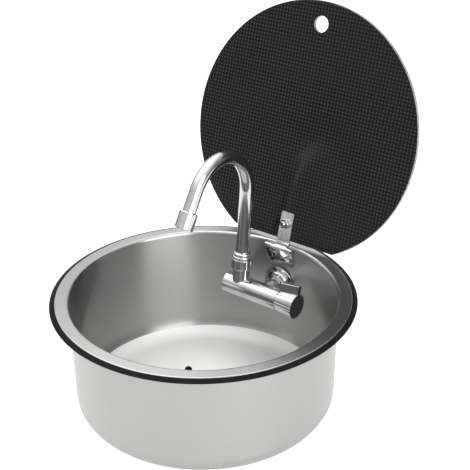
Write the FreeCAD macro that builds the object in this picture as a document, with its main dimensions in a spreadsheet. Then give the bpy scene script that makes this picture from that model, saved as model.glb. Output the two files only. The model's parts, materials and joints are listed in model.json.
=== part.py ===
"""Round steel hand sink, 340 mm across its rim, with a hinged glass lid and a folding tap.

Millimetres, +Z up. The origin is the centre of the bowl in the plane of the worktop, on which the
rim's rubber ring rests. +X runs along the hinge and the tap's barrel, +Y points at the hinge.
The lid stands open and the tap stands up, as in use.
"""

import math
import os

import FreeCAD, Part
import Sketcher

doc = FreeCAD.newDocument("HandSink")
sheet = doc.addObject("Spreadsheet::Sheet", "Sheet")

# Driving sizes in millimetres and degrees, each written once
SIZES = [
    # bowl and rim
    ("wall_r", 154.0, "bowl's outer radius at the rim"),
    ("sheet_t", 1.0, "steel sheet"),
    ("wall_draft", 0.016, "radius lost per millimetre of depth"),
    ("bowl_depth", 144.5, "rim top to the underside of the floor"),
    ("corner_r", 25.0, "outside radius of the bottom corner"),
    ("shoulder_r", 4.0, "radius from the wall over to the rim band"),
    ("band_w", 16.0, "rim band from the bowl's outer wall to the rim's edge"),
    ("rim_top", 4.0, "rim band's height above the worktop"),
    ("lip_h", 3.0, "height of the down-turned edge"),
    ("lip_round", 1.6, "outer rounding of the down-turned edge"),
    ("lip_inner_round", 0.5, "inner rounding of the down-turned edge"),
    # rubber ring
    ("gasket_lip", 5.5, "rubber beyond the rim's edge"),
    ("gasket_top", 3.9, "height of the rubber beside the rim's edge"),
    ("gasket_edge", 1.3, "height of the rubber's outer edge, to which its top slopes"),
    ("gasket_inner", 11.0, "rubber's width under the band, inside the lip"),
    ("gasket_groove", 0.2, "room for the lip in its groove, each side"),
    ("gasket_round", 0.9, "rounding of the rubber's outer edge"),
    ("gasket_foot_round", 0.4, "rounding of the rubber's bottom edge"),
    # drain
    ("drain_x", -36.9, "drain centre"),
    ("drain_y", 12.7, "drain centre"),
    ("recess_r", 24.0, "pressed recess around the drain"),
    ("recess_d", 2.0, "depth of the recess"),
    ("waste_thread_r", 12.5, "drain fitting's thread"),
    ("waste_hole_gap", 0.5, "room around the thread in the floor"),
    ("waste_bore_r", 10.5, "water way through the drain"),
    ("waste_flange_r", 19.8, "drain flange"),
    ("waste_flange_t", 1.2, "drain flange thickness"),
    ("waste_seal_t", 0.8, "drain seals"),
    ("waste_seal_w", 5.5, "width of the drain seals"),
    ("waste_thread_l", 24.0, "threaded length below the flange"),
    ("waste_nut_af", 36.0, "drain nut across its flats"),
    ("waste_nut_h", 6.0, "drain nut height"),
    ("socket_wall", 3.0, "wall of the tailpiece's socket"),
    ("socket_l", 11.0, "overlap of socket and thread"),
    ("hose_r", 14.0, "spigot that takes the waste hose"),
    ("hose_l", 30.0, "length of that spigot"),
    ("tail_bore_r", 11.5, "bore of the tailpiece"),
    ("tail_web", 4.0, "web between socket and spigot"),
    ("fit_gap", 0.1, "gap between pieces that are screwed or seated together"),
    ("wall_gap", 0.2, "gap between the bowl's round wall and what seals on it"),
    # plug
    ("plug_r", 10.2, "plug's stopper at its top"),
    ("plug_tip_r", 9.4, "plug's stopper at its tip"),
    ("plug_l", 6.0, "stopper below the flange"),
    ("plug_disc_r", 14.0, "plug's disc"),
    ("plug_disc_t", 2.2, "disc thickness"),
    ("pull_neck_r", 2.6, "neck of the pull"),
    ("pull_r", 4.3, "pull"),
    ("pull_h", 18.9, "pull's height above the disc"),
    ("pull_head", 8.4, "height of the pull's head"),
    # hinge
    ("hinge_inset", 4.66, "hinge axis inside the bowl's wall"),
    ("hinge_drop", 4.95, "hinge axis below the rim band"),
    ("lid_open", 106.39, "lid's angle at its open stop, in degrees from closed"),
    ("knuckle_r", 3.0, "hinge knuckles"),
    ("hinge_half", 19.1, "half the hinge's length"),
    ("knuckle_w", 18.9, "moving knuckle"),
    ("knuckle_gap", 0.2, "side gap between knuckles"),
    ("pin_r", 1.5, "hinge pin"),
    ("pin_run", 0.05, "running clearance round the pin"),
    ("pin_head_r", 2.2, "hinge pin's heads"),
    ("pin_head_t", 0.8, "hinge pin's heads"),
    ("leaf_t", 1.3, "fixed leaf"),
    ("leaf_l", 22.0, "fixed leaf from the axis down"),
    ("leaf_relief", 0.7, "gap between the leaf's top and the moving knuckle"),
    ("screw_x", 10.0, "hinge screws from the middle"),
    ("screw_drop", 12.45, "hinge screws below the axis"),
    ("screw_r", 1.95, "hinge screws"),
    ("screw_head_r", 3.6, "hinge screw heads"),
    ("screw_head_t", 2.0, "hinge screw heads"),
    ("screw_over", 1.5, "screw beyond its nut"),
    ("screw_nut_af", 7.0, "hinge nuts across their flats"),
    ("screw_nut_h", 3.2, "hinge nuts"),
    # lid
    ("lid_over", 1.0, "lid's radius beyond the bowl's outer wall radius"),
    ("lid_rise", 4.85, "lid's underside from the hinge axis"),
    ("glass_t", 4.5, "glass"),
    ("chord_gap", 11.04, "hinge axis to the lid's straight edge"),
    ("lid_corner_r", 4.0, "lid's corners"),
    ("glass_edge_r", 1.1, "rounding of the glass's edges"),
    ("finger_r", 9.75, "finger hole"),
    ("finger_inset", 27.4, "finger hole's centre from the lid's rim"),
    ("strap_t", 1.2, "lid strap"),
    ("strap_w", 18.0, "lid strap's width"),
    ("strap_shift", 2.4, "strap, bolt and screws off the knuckle's middle"),
    ("strap_bend", 6.0, "strap's bend from the axis"),
    ("strap_bend_l", 2.5, "length of the strap's bend"),
    ("strap_side_gap", 3.6, "strap's free side from the axis"),
    ("pad_t", 0.5, "rubber pad between strap and glass"),
    ("strap_l", 46.0, "lid strap from the axis"),
    ("strap_round", 1.5, "lid strap's corners"),
    ("pad_start", 13.5, "rubber pad from the axis"),
    ("bolt_reach", 31.6, "lid bolt from the axis"),
    ("bolt_r", 3.2, "lid bolt"),
    ("bolt_gap", 0.25, "room round the lid bolt"),
    ("bush_t", 1.2, "rubber bush in the glass"),
    ("bolt_tip", 3.8, "bolt beyond its nut"),
    ("bolt_tip_bevel", 0.6, "bevel at the bolt's tip"),
    ("bolt_head_r", 8.0, "lid bolt's head"),
    ("bolt_head_t", 3.0, "lid bolt's head"),
    ("bolt_head_round", 1.8, "rounding of the bolt's head"),
    ("top_washer_r", 9.0, "rubber washer under the bolt's head"),
    ("washer_t", 1.0, "lid washers"),
    ("nut_washer_r", 6.3, "washer under the lid nut"),
    ("lid_nut_af", 11.0, "lid nut across its flats"),
    ("lid_nut_h", 4.6, "lid nut"),
    ("lid_nut_bevel", 0.9, "bevel of the lid nut's corners"),
    # tap body
    ("body_inset", 40.5, "tap barrel's axis inside the bowl's wall"),
    ("body_drop", 53.5, "tap barrel's axis below the rim band"),
    ("body_r", 13.4, "tap barrel"),
    ("neck_drop", 0.5, "neck's axis below the barrel's"),
    ("riser_x", -32.5, "riser's place along the barrel"),
    ("head_left", 19.0, "riser to the barrel's capped end"),
    ("head_right", 14.4, "riser to the joint with the fixed barrel"),
    ("body_l", 45.3, "fixed barrel"),
    ("joint_gap", 0.3, "gaps between the barrel's pieces"),
    ("spigot_r", 8.5, "pivot spigot that the head turns on"),
    ("spigot_l", 26.0, "pivot spigot"),
    ("run_gap", 0.05, "running clearance of the pivots"),
    ("spigot_bore_r", 4.5, "water way in the spigot"),
    ("port_r", 2.4, "cross hole from spigot to riser"),
    ("port_groove", 1.2, "depth of the ring groove at the cross hole"),
    ("chamber_r", 8.6, "valve chamber"),
    ("chamber_l", 27.0, "valve chamber"),
    ("shank_r", 10.4, "neck and inlet shank"),
    ("shank_gap", 0.4, "room round the shank in the wall"),
    ("shank_bore_r", 5.5, "water way in the shank"),
    ("flange_r", 21.0, "tap flange"),
    ("flange_edge", 1.4, "tap flange's edge thickness"),
    ("flange_h", 9.5, "tap flange's height"),
    ("flange_neck_r", 12.6, "tap flange at its neck"),
    ("flange_round", 5.0, "inner sweep of the flange"),
    ("flange_edge_round", 0.6, "rounding of the flange's edge"),
    ("wall_seal_r", 19.4, "seal behind the flange"),
    ("back_seal_r", 16.0, "seal outside the wall"),
    ("back_seal_t", 2.2, "seal outside the wall"),
    ("back_washer_t", 1.5, "washer outside the wall"),
    ("back_nut_af", 30.0, "tap's back nut across its flats"),
    ("back_nut_h", 7.0, "tap's back nut"),
    ("inlet_r", 8.33, "inlet thread, G3/8"),
    ("inlet_l", 13.0, "inlet thread"),
    ("shank_over", 2.0, "shank beyond the back nut"),
    # valve and knob
    ("cartridge_l", 20.0, "valve cartridge"),
    ("cartridge_face", 3.0, "cartridge's face plate"),
    ("gland_l", 4.0, "nut that holds the cartridge"),
    ("spindle_r", 3.0, "valve spindle"),
    ("spindle_deep", 10.0, "spindle inside the cartridge"),
    ("spindle_out", 15.0, "spindle beyond the barrel"),
    ("knob_l", 25.4, "knob"),
    ("knob_root_r", 12.9, "knob at its root"),
    ("knob_end_r", 16.0, "knob at its end"),
    ("flute_r", 4.2, "knob's flutes"),
    ("flute_d", 0.5, "depth of the flutes"),
    ("knob_wing_r", 23.4, "knob's thumb wing at its root"),
    ("knob_wing_end", 26.4, "knob's thumb wing at its end"),
    ("knob_wing_turn", 14.0, "wing's lean to the wall, in degrees"),
    ("knob_wing_w", 6.6, "wing's thickness at its top"),
    ("knob_wing_round", 0.8, "rounding of the wing's top edges"),
    ("cap_inset", 0.9, "chrome edge round the knob's end plate"),
    ("cap_t", 1.4, "knob's end plate"),
    ("cap_sink", 0.3, "end plate below the knob's edge"),
    ("knob_screw_r", 1.9, "knob screw"),
    ("knob_screw_l", 12.0, "knob screw"),
    ("knob_screw_head_r", 3.5, "knob screw's head"),
    ("knob_screw_head_t", 2.4, "knob screw's head"),
    # seals and screws of the pivot
    ("ring_wire_r", 0.75, "section of the O-rings"),
    ("groove_w", 2.2, "O-ring grooves"),
    ("groove_d", 1.55, "O-ring grooves"),
    ("pivot_ring_place", 7.0, "pivot O-rings from the cross hole"),
    ("pivot_washer_r", 9.6, "washer that holds the head on"),
    ("pivot_washer_t", 1.0, "washer that holds the head on"),
    ("pivot_screw_head_r", 5.5, "pivot screw's head"),
    ("pivot_screw_head_t", 1.8, "pivot screw's head"),
    ("pivot_screw_l", 6.0, "pivot screw in the spigot"),
    ("pivot_room_r", 10.2, "room for washer and screw in the head"),
    ("end_cap_t", 1.8, "cap on the head's end"),
    ("end_cap_spigot", 1.0, "cap's spigot in the head"),
    # head and collar
    ("lean", 6.2, "riser's lean to the wall, in degrees"),
    ("boss_r", 10.8, "boss under the collar"),
    ("boss_top", 25.6, "boss's top above the barrel's axis"),
    ("stem_r", 10.6, "threaded stem inside the collar"),
    ("stem_top", 35.1, "stem's top above the barrel's axis"),
    ("socket_floor", 14.0, "floor of the spout's socket above the axis"),
    ("collar_r", 13.0, "collar nut"),
    ("collar_top", 38.7, "collar nut's top above the axis"),
    ("collar_lip", 2.0, "lip that holds the spout down"),
    ("collar_bevel", 0.9, "collar nut's bevels"),
    ("collar_gap", 0.3, "room round the spout in the collar's lip"),
    # spout
    ("tube_r", 8.3, "spout tube"),
    ("tube_t", 1.0, "spout tube's wall"),
    ("riser_h", 127.4, "top of the straight riser above the axis"),
    ("arch_r", 52.6, "arch's centre line"),
    ("arch_angle", 153.0, "arch, in degrees"),
    ("tail_l", 28.5, "straight tail of the tube"),
    ("stop_r", 9.9, "flange on the spout's foot"),
    ("stop_t", 1.2, "flange on the spout's foot"),
    ("foot_bore_r", 5.0, "water way in the spout's foot"),
    ("foot_insert", 9.0, "foot inside the tube"),
    ("spout_ring_place", 5.5, "spout O-rings from the socket's floor"),
    ("spout_ring_step", 7.0, "spacing of the spout O-rings"),
    ("ferrule_l", 8.2, "ferrule above the collar"),
    ("ferrule_r", 9.7, "ferrule's waist"),
    ("bead_big_r", 12.5, "ferrule's lower bead"),
    ("bead_small_r", 11.6, "ferrule's upper bead"),
    ("bead_wire_r", 1.95, "section of the beads"),
    # aerator
    ("aerator_r", 11.4, "aerator housing"),
    ("aerator_l", 20.0, "aerator housing"),
    ("aerator_over", 4.0, "housing over the tube's end"),
    ("aerator_round", 2.2, "shoulder of the housing"),
    ("aerator_stop", 2.0, "ledge under the tube's end"),
    ("aerator_wall", 1.4, "housing's wall"),
    ("insert_gap", 0.15, "room round the insert"),
    ("seal_ring_t", 1.5, "washer above the insert"),
    ("insert_sink", 0.8, "insert's face above the housing's edge"),
    ("jet_r", 0.85, "insert's holes"),
    # drawing aids
    ("over", 5.0, "overrun of cuts"),
    ("pick_slack", 0.02, "how near an edge lies to where it is looked for"),
]


class Size:
    """A length or angle with its number and the expression that gives it from the sheet."""

    def __init__(self, value, text):
        self.value = value
        self.text = text

    def join(self, other, sign, value):
        text = other.text if isinstance(other, Size) else repr(other)
        return Size(value, "(" + self.text + " " + sign + " " + text + ")")

    def __add__(self, other):
        return self.join(other, "+", self.value + number(other))

    def __sub__(self, other):
        return self.join(other, "-", self.value - number(other))

    def __mul__(self, other):
        return self.join(other, "*", self.value * number(other))

    def __truediv__(self, other):
        return self.join(other, "/", self.value / number(other))

    def __radd__(self, other):
        return as_size(other) + self

    def __rsub__(self, other):
        return as_size(other) - self

    def __rmul__(self, other):
        return as_size(other) * self

    def __neg__(self):
        return Size(-self.value, "(0 - " + self.text + ")")


def number(value):
    return value.value if isinstance(value, Size) else value


def as_size(value):
    return value if isinstance(value, Size) else Size(value, repr(value))


def cosine(angle):
    return Size(math.cos(math.radians(angle.value)), "cos(" + angle.text + " * 1deg)")


def sine(angle):
    return Size(math.sin(math.radians(angle.value)), "sin(" + angle.text + " * 1deg)")


def arctangent(ratio):
    return Size(math.degrees(math.atan(ratio.value)), "atan(" + ratio.text + ")")


def root(value):
    return Size(math.sqrt(value.value), "sqrt(" + value.text + ")")


class Named:
    """The sheet's sizes by name."""


s = Named()
for row, (alias, value, note) in enumerate(SIZES, start=1):
    sheet.set("A%d" % row, alias)
    sheet.set("B%d" % row, str(value))
    sheet.set("C%d" % row, note)
    sheet.setAlias("B%d" % row, alias)
    setattr(s, alias, Size(value, "Sheet." + alias))
doc.recompute()

X_AXIS = FreeCAD.Vector(1, 0, 0)
Y_AXIS = FreeCAD.Vector(0, 1, 0)
Z_AXIS = FreeCAD.Vector(0, 0, 1)
parts = []


def bind(obj, name, value):
    obj.setExpression(name, as_size(value).text)


def put(obj, x=0, y=0, z=0, axis=Z_AXIS, angle=0):
    """Place an object: turned about an axis through its own origin, then moved."""
    turn = FreeCAD.Rotation(axis, number(angle))
    obj.Placement = FreeCAD.Placement(FreeCAD.Vector(number(x), number(y), number(z)), turn)
    for name, value in (("x", x), ("y", y), ("z", z)):
        if isinstance(value, Size):
            bind(obj, "Placement.Base." + name, value)
    if isinstance(angle, Size):
        bind(obj, "Placement.Rotation.Angle", angle)
    return obj


def keep(obj, node):
    """Name a finished piece and list it for writing."""
    obj.Label = node
    parts.append(obj)
    return obj


def plane(body, role):
    for item in body.Origin.OriginFeatures:
        if item.Role == role:
            return item
    raise RuntimeError("no plane " + role)


def sketch_on(body, role, offset=0):
    sk = body.newObject("Sketcher::SketchObject", "Sketch")
    sk.AttachmentSupport = [(plane(body, role), "")]
    sk.MapMode = "FlatFace"
    if isinstance(offset, Size):
        sk.AttachmentOffset = FreeCAD.Placement(FreeCAD.Vector(0, 0, offset.value), FreeCAD.Rotation())
        bind(sk, "AttachmentOffset.Base.z", offset)
    return sk


def fix_point(sk, geometry, which, x, y):
    """Tie one point of a sketch to two sizes."""
    for kind, value in (("DistanceX", x), ("DistanceY", y)):
        place = sk.addConstraint(Sketcher.Constraint(kind, -1, 1, geometry, which, number(value)))
        if isinstance(value, Size):
            sk.setExpression("Constraints[%d]" % place, value.text)


def outline(sk, points):
    """A closed outline of straight lines through the given points."""
    corners = [FreeCAD.Vector(number(x), number(y), 0) for x, y in points]
    count = len(corners)
    first = sk.GeometryCount
    for i in range(count):
        sk.addGeometry(Part.LineSegment(corners[i], corners[(i + 1) % count]), False)
    for i in range(count):
        after = first + (i + 1) % count
        sk.addConstraint(Sketcher.Constraint("Coincident", first + i, 2, after, 1))
    for i, (x, y) in enumerate(points):
        fix_point(sk, first + i, 1, x, y)


def circle(sk, x, y, radius):
    centre = FreeCAD.Vector(number(x), number(y), 0)
    at = sk.addGeometry(Part.Circle(centre, FreeCAD.Vector(0, 0, 1), number(radius)), False)
    fix_point(sk, at, 3, x, y)
    place = sk.addConstraint(Sketcher.Constraint("Radius", at, number(radius)))
    sk.setExpression("Constraints[%d]" % place, as_size(radius).text)


def new_body(name):
    return doc.addObject("PartDesign::Body", name)


def revolve(body, points, kind="PartDesign::Revolution"):
    """Turn an outline of (radius, height) points about the body's Z axis, or cut that shape away."""
    sk = sketch_on(body, "XZ_Plane")
    outline(sk, points)
    feature = body.newObject(kind, "Turn")
    feature.Profile = sk
    feature.ReferenceAxis = (sk, ["V_Axis"])
    feature.Angle = 360
    doc.recompute()
    return feature


def pad(body, sk, length, middle=False):
    feature = body.newObject("PartDesign::Pad", "Pad")
    feature.Profile = sk
    feature.Length = number(length)
    bind(feature, "Length", length)
    if middle:
        feature.Midplane = True
    doc.recompute()
    return feature


def pocket(body, sk, length, reverse=False, middle=False):
    """Cut a sketch's outline out of the body and make sure that something went."""
    before = body.Shape.Volume
    feature = body.newObject("PartDesign::Pocket", "Pocket")
    feature.Profile = sk
    feature.Length = number(length)
    bind(feature, "Length", length)
    feature.Reversed = reverse
    if middle:
        feature.Midplane = True
    doc.recompute()
    if body.Shape.Volume >= before:
        raise RuntimeError("a pocket of %s cut nothing" % body.Name)
    return feature


def edges_where(shape, test):
    return ["Edge%d" % (i + 1) for i, edge in enumerate(shape.Edges) if test(edge)]


def ring_at(radius, height):
    """Test for a full or part circle of this radius about Z at this height."""
    slack = s.pick_slack.value

    def test(edge):
        curve = edge.Curve
        if not hasattr(curve, "Radius") or not hasattr(curve, "Center"):
            return False
        if not hasattr(curve, "Axis") or not curve.Axis.cross(Z_AXIS).Length < slack:
            return False
        flat = math.hypot(curve.Center.x, curve.Center.y) < slack
        return flat and abs(curve.Radius - number(radius)) < slack and abs(curve.Center.z - number(height)) < slack

    return test


def round_edges(body, test, radius):
    names = edges_where(body.Shape, test)
    if not names:
        raise RuntimeError("no edge to round on " + body.Name)
    base = body.Tip
    feature = body.newObject("PartDesign::Fillet", "Fillet")
    feature.Base = (base, names)
    feature.Radius = number(radius)
    bind(feature, "Radius", radius)
    body.Tip = feature
    doc.recompute()
    return feature


def turned(node, points, keep_it=True):
    body = new_body(node)
    revolve(body, points)
    return keep(body, node) if keep_it else body


def cylinder(radius, length, x=0, y=0, z=0, axis=Z_AXIS, angle=0):
    item = doc.addObject("Part::Cylinder", "Cylinder")
    bind(item, "Radius", radius)
    bind(item, "Height", length)
    return put(item, x, y, z, axis, angle)


def along_x(radius, x_from, x_to, y=0, z=0):
    return cylinder(radius, x_to - x_from, x_from, y, z, Y_AXIS, 90)


def along_y(radius, y_from, y_to, x=0, z=0):
    return cylinder(radius, y_to - y_from, x, y_from, z, X_AXIS, -90)


def box(x, y, z):
    """A block between two values on each axis."""
    item = doc.addObject("Part::Box", "Box")
    for name, pair in (("Length", x), ("Width", y), ("Height", z)):
        bind(item, name, pair[1] - pair[0])
    return put(item, x[0], y[0], z[0])


def torus(ring_r, wire_r, z=0):
    item = doc.addObject("Part::Torus", "Torus")
    bind(item, "Radius1", ring_r)
    bind(item, "Radius2", wire_r)
    return put(item, 0, 0, z)


def fuse(*items):
    item = doc.addObject("Part::MultiFuse", "Fuse")
    item.Shapes = list(items)
    item.Refine = True
    return item


def cut(base, *tools):
    item = doc.addObject("Part::Cut", "Cut")
    item.Base = base
    item.Tool = tools[0] if len(tools) == 1 else fuse(*tools)
    item.Refine = True
    return item


def common(*items):
    item = doc.addObject("Part::MultiCommon", "Common")
    item.Shapes = list(items)
    item.Refine = True
    return item


def group(*items):
    """Separate solids that share one node."""
    item = doc.addObject("Part::Compound", "Group")
    item.Links = list(items)
    return item


# A hexagon's flats lie 30 degrees from its corners
HEX_TURN = Size(30, "30")


def hexagon(across_flats, height):
    item = doc.addObject("Part::Prism", "Prism")
    item.Polygon = 6
    bind(item, "Circumradius", across_flats / 2 / cosine(HEX_TURN))
    bind(item, "Height", height)
    return item


# Levels and radii that follow from the sizes
wall_in_r = s.wall_r - s.sheet_t
rim_r = s.wall_r + s.band_w
band_under = s.rim_top - s.sheet_t
lip_under = s.rim_top - s.lip_h
floor_under = s.rim_top - s.bowl_depth
floor_top = floor_under + s.sheet_t
hinge_y = wall_in_r - s.hinge_inset
hinge_z = s.rim_top - s.hinge_drop
body_y = wall_in_r - s.body_inset
body_z = s.rim_top - s.body_drop
neck_z = body_z - s.neck_drop
screw_z = hinge_z - s.screw_drop
screw_places = (s.strap_shift - s.screw_x, s.strap_shift + s.screw_x)


def wall_at(radius, z):
    """Radius of the tapering wall at a height, from its radius at the rim."""
    return radius - s.wall_draft * (s.rim_top - z)


def wall_cone(radius, z_from, z_to):
    """Solid cone inside the tapering wall between two heights."""
    item = doc.addObject("Part::Cone", "Cone")
    bind(item, "Radius1", wall_at(radius, z_from))
    bind(item, "Radius2", wall_at(radius, z_to))
    bind(item, "Height", z_to - z_from)
    return put(item, 0, 0, z_from)


# Bowl: outer form, hollow, rounded corners, drain recess and holes
tap_hole_r = s.shank_r + s.shank_gap
drain_hole_r = s.waste_thread_r + s.waste_hole_gap
bowl = new_body("sink_bowl")
revolve(bowl, [
    (0, floor_under),
    (wall_at(s.wall_r, floor_under), floor_under),
    (wall_at(s.wall_r, band_under), band_under),
    (rim_r - s.sheet_t, band_under),
    (rim_r - s.sheet_t, lip_under),
    (rim_r, lip_under),
    (rim_r, s.rim_top),
    (0, s.rim_top),
])
round_edges(bowl, ring_at(wall_at(s.wall_r, band_under), band_under), s.shoulder_r - s.sheet_t)
revolve(bowl, [
    (0, floor_top),
    (wall_at(wall_in_r, floor_top), floor_top),
    (wall_in_r, s.rim_top),
    (wall_in_r, s.rim_top + s.over),
    (0, s.rim_top + s.over),
], "PartDesign::Groove")
round_edges(bowl, ring_at(wall_at(wall_in_r, floor_top), floor_top), s.corner_r - s.sheet_t)
round_edges(bowl, ring_at(wall_at(s.wall_r, floor_under), floor_under), s.corner_r)
round_edges(bowl, ring_at(wall_in_r, s.rim_top), s.shoulder_r)
round_edges(bowl, ring_at(rim_r, s.rim_top), s.lip_round)
round_edges(bowl, ring_at(rim_r - s.sheet_t, band_under), s.lip_inner_round)
recess_sketch = sketch_on(bowl, "XY_Plane", floor_under - s.recess_d)
circle(recess_sketch, s.drain_x, s.drain_y, s.recess_r + s.sheet_t)
pad(bowl, recess_sketch, s.recess_d)
recess_cut = sketch_on(bowl, "XY_Plane", floor_top)
circle(recess_cut, s.drain_x, s.drain_y, s.recess_r)
pocket(bowl, recess_cut, s.recess_d)
drain_cut = sketch_on(bowl, "XY_Plane", floor_top)
circle(drain_cut, s.drain_x, s.drain_y, drain_hole_r)
pocket(bowl, drain_cut, s.recess_d + s.sheet_t + s.over)
back_cut = sketch_on(bowl, "XZ_Plane")
circle(back_cut, 0, neck_z, tap_hole_r)
for place in screw_places:
    circle(back_cut, place, screw_z, s.screw_r + s.bolt_gap)
pocket(bowl, back_cut, rim_r)
keep(bowl, "sink_bowl")

# Rubber ring under the band and round the down-turned edge
gasket = new_body("rim_gasket")
gasket_r = rim_r + s.gasket_lip
groove_out = rim_r + s.gasket_groove
groove_in = rim_r - s.sheet_t - s.gasket_groove
revolve(gasket, [
    (groove_in - s.gasket_inner, 0),
    (gasket_r, 0),
    (gasket_r, s.gasket_edge),
    (groove_out, s.gasket_top),
    (groove_out, lip_under - s.gasket_groove),
    (groove_in, lip_under - s.gasket_groove),
    (groove_in, band_under - s.lip_inner_round),
    (groove_in - s.lip_inner_round, band_under),
    (groove_in - s.gasket_inner, band_under),
])
round_edges(gasket, ring_at(gasket_r, s.gasket_edge), s.gasket_round)
round_edges(gasket, ring_at(gasket_r, 0), s.gasket_foot_round)
keep(gasket, "rim_gasket")

# Drain: flange with its threaded tube, two seals, nut, tailpiece with the hose spigot
recess_top = floor_top - s.recess_d
recess_under = floor_under - s.recess_d
flange_under = recess_top + s.waste_seal_t
flange_top = flange_under + s.waste_flange_t
thread_end = flange_under - s.waste_thread_l


def at_drain(obj):
    return put(obj, s.drain_x, s.drain_y, 0)


at_drain(turned("waste_flange", [
    (s.waste_bore_r, thread_end),
    (s.waste_thread_r, thread_end),
    (s.waste_thread_r, flange_under),
    (s.waste_flange_r, flange_under),
    (s.waste_flange_r, flange_top - s.waste_flange_t / 2),
    (s.waste_flange_r - s.waste_flange_t / 2, flange_top),
    (s.plug_r + s.waste_flange_t, flange_top),
    (s.waste_bore_r, flange_top - s.waste_flange_t),
]))
seal_in = s.waste_thread_r + s.fit_gap
at_drain(turned("waste_top_seal", [
    (seal_in, recess_top),
    (seal_in + s.waste_seal_w, recess_top),
    (seal_in + s.waste_seal_w, flange_under),
    (seal_in, flange_under),
]))
at_drain(turned("waste_bottom_seal", [
    (seal_in, recess_under - s.waste_seal_t),
    (seal_in + s.waste_seal_w, recess_under - s.waste_seal_t),
    (seal_in + s.waste_seal_w, recess_under),
    (seal_in, recess_under),
]))
nut_top = recess_under - s.waste_seal_t
waste_nut = cut(hexagon(s.waste_nut_af, s.waste_nut_h), cylinder(seal_in, s.waste_nut_h))
keep(put(waste_nut, s.drain_x, s.drain_y, nut_top - s.waste_nut_h), "waste_nut")
tail_top = thread_end + s.socket_l
socket_end = thread_end - s.tail_web
at_drain(turned("waste_tail", [
    (s.waste_thread_r + s.fit_gap, tail_top),
    (s.waste_thread_r + s.fit_gap, thread_end - s.fit_gap),
    (s.tail_bore_r, thread_end - s.fit_gap),
    (s.tail_bore_r, socket_end - s.hose_l),
    (s.hose_r, socket_end - s.hose_l),
    (s.hose_r, socket_end),
    (s.waste_thread_r + s.socket_wall, socket_end),
    (s.waste_thread_r + s.socket_wall, tail_top),
]))

# Rubber plug with its pull
plug_under = flange_top + s.fit_gap
plug_top = plug_under + s.plug_disc_t
pull_low = plug_top + s.pull_h - s.pull_head
pull_top = plug_top + s.pull_h
at_drain(turned("drain_plug", [
    (0, plug_under - s.plug_l),
    (s.plug_tip_r, plug_under - s.plug_l),
    (s.plug_r, plug_under),
    (s.plug_disc_r, plug_under),
    (s.plug_disc_r, plug_top - s.plug_disc_t / 2),
    (s.plug_disc_r - s.plug_disc_t / 2, plug_top),
    (s.pull_neck_r, plug_top),
    (s.pull_neck_r, pull_low),
    (s.pull_r, pull_low + s.pull_head / 4),
    (s.pull_r, pull_top - s.pull_head / 4),
    (s.pull_r - s.pull_head / 4, pull_top),
    (0, pull_top),
]))

# Hinge: fixed leaf with two knuckles, following the tapering wall
leaf_out_r = wall_in_r - s.fit_gap
leaf_low = hinge_z - s.leaf_l
leaf_top = hinge_z - s.knuckle_r - s.leaf_relief
knuckle_in = s.knuckle_w / 2 + s.knuckle_gap
leaf_block = box(
    (-s.hinge_half, s.hinge_half), (hinge_y - s.over, wall_in_r + s.over), (leaf_low, leaf_top))
leaf = cut(leaf_block, wall_cone(leaf_out_r - s.leaf_t, leaf_low - s.over, leaf_top + s.over))
bridges = [
    box(span, (hinge_y, wall_in_r + s.over), (leaf_top - s.leaf_t, hinge_z))
    for span in ((knuckle_in, s.hinge_half), (-s.hinge_half, -knuckle_in))
]
fitted = common(fuse(leaf, *bridges), wall_cone(leaf_out_r, leaf_low - s.over, hinge_z + s.over))
knuckles = [
    along_x(s.knuckle_r, span[0], span[1], hinge_y, hinge_z)
    for span in ((knuckle_in, s.hinge_half), (-s.hinge_half, -knuckle_in))
]
screw_slack = s.screw_r + s.fit_gap
bracket = cut(
    fuse(fitted, *knuckles),
    along_x(s.pin_r + s.pin_run / 2, -s.hinge_half - s.over, s.hinge_half + s.over, hinge_y, hinge_z),
    along_y(screw_slack, hinge_y - s.over, wall_in_r + s.over, screw_places[0], screw_z),
    along_y(screw_slack, hinge_y - s.over, wall_in_r + s.over, screw_places[1], screw_z))
keep(bracket, "hinge_bracket")

# Hinge pin with a small head at each end
pin_end = s.hinge_half + s.fit_gap
pin_tip = pin_end + s.pin_head_t
pin = fuse(
    along_x(s.pin_r, -pin_tip, pin_tip, hinge_y, hinge_z),
    along_x(s.pin_head_r, pin_end, pin_tip, hinge_y, hinge_z),
    along_x(s.pin_head_r, -pin_tip, -pin_end, hinge_y, hinge_z))
keep(pin, "hinge_pin")

# Screws through leaf and wall, and their nuts outside
leaf_face = wall_at(leaf_out_r - s.leaf_t, screw_z)
screw_nut_r = s.screw_nut_af / 2 / cosine(HEX_TURN)


def wall_y(radius, x):
    """How far along Y a round wall lies at a distance from its middle line."""
    return root(radius * radius - x * x)


screws = []
nuts = []
for place in screw_places:
    side = place if place.value > 0 else -place
    seat = wall_y(leaf_face, side + s.screw_head_r) - s.fit_gap
    nut_y = wall_y(wall_at(s.wall_r, screw_z), side - screw_nut_r) + s.fit_gap
    tip = nut_y + s.screw_nut_h + s.screw_over
    screws.append(fuse(
        along_y(s.screw_head_r, seat - s.screw_head_t, seat, place, screw_z),
        along_y(s.screw_r, seat - s.screw_head_t / 2, tip, place, screw_z)))
    nut = cut(hexagon(s.screw_nut_af, s.screw_nut_h), cylinder(s.screw_r + s.fit_gap, s.screw_nut_h))
    nuts.append(put(nut, place, nut_y, screw_z, X_AXIS, -90))
keep(group(*screws), "hinge_screws")
keep(group(*nuts), "hinge_nuts")


def on_lid(obj):
    """Lid pieces are drawn closed, from the hinge axis, and turned up to the open stop."""
    return put(obj, 0, hinge_y, hinge_z, FreeCAD.Vector(-1, 0, 0), s.lid_open)


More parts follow.
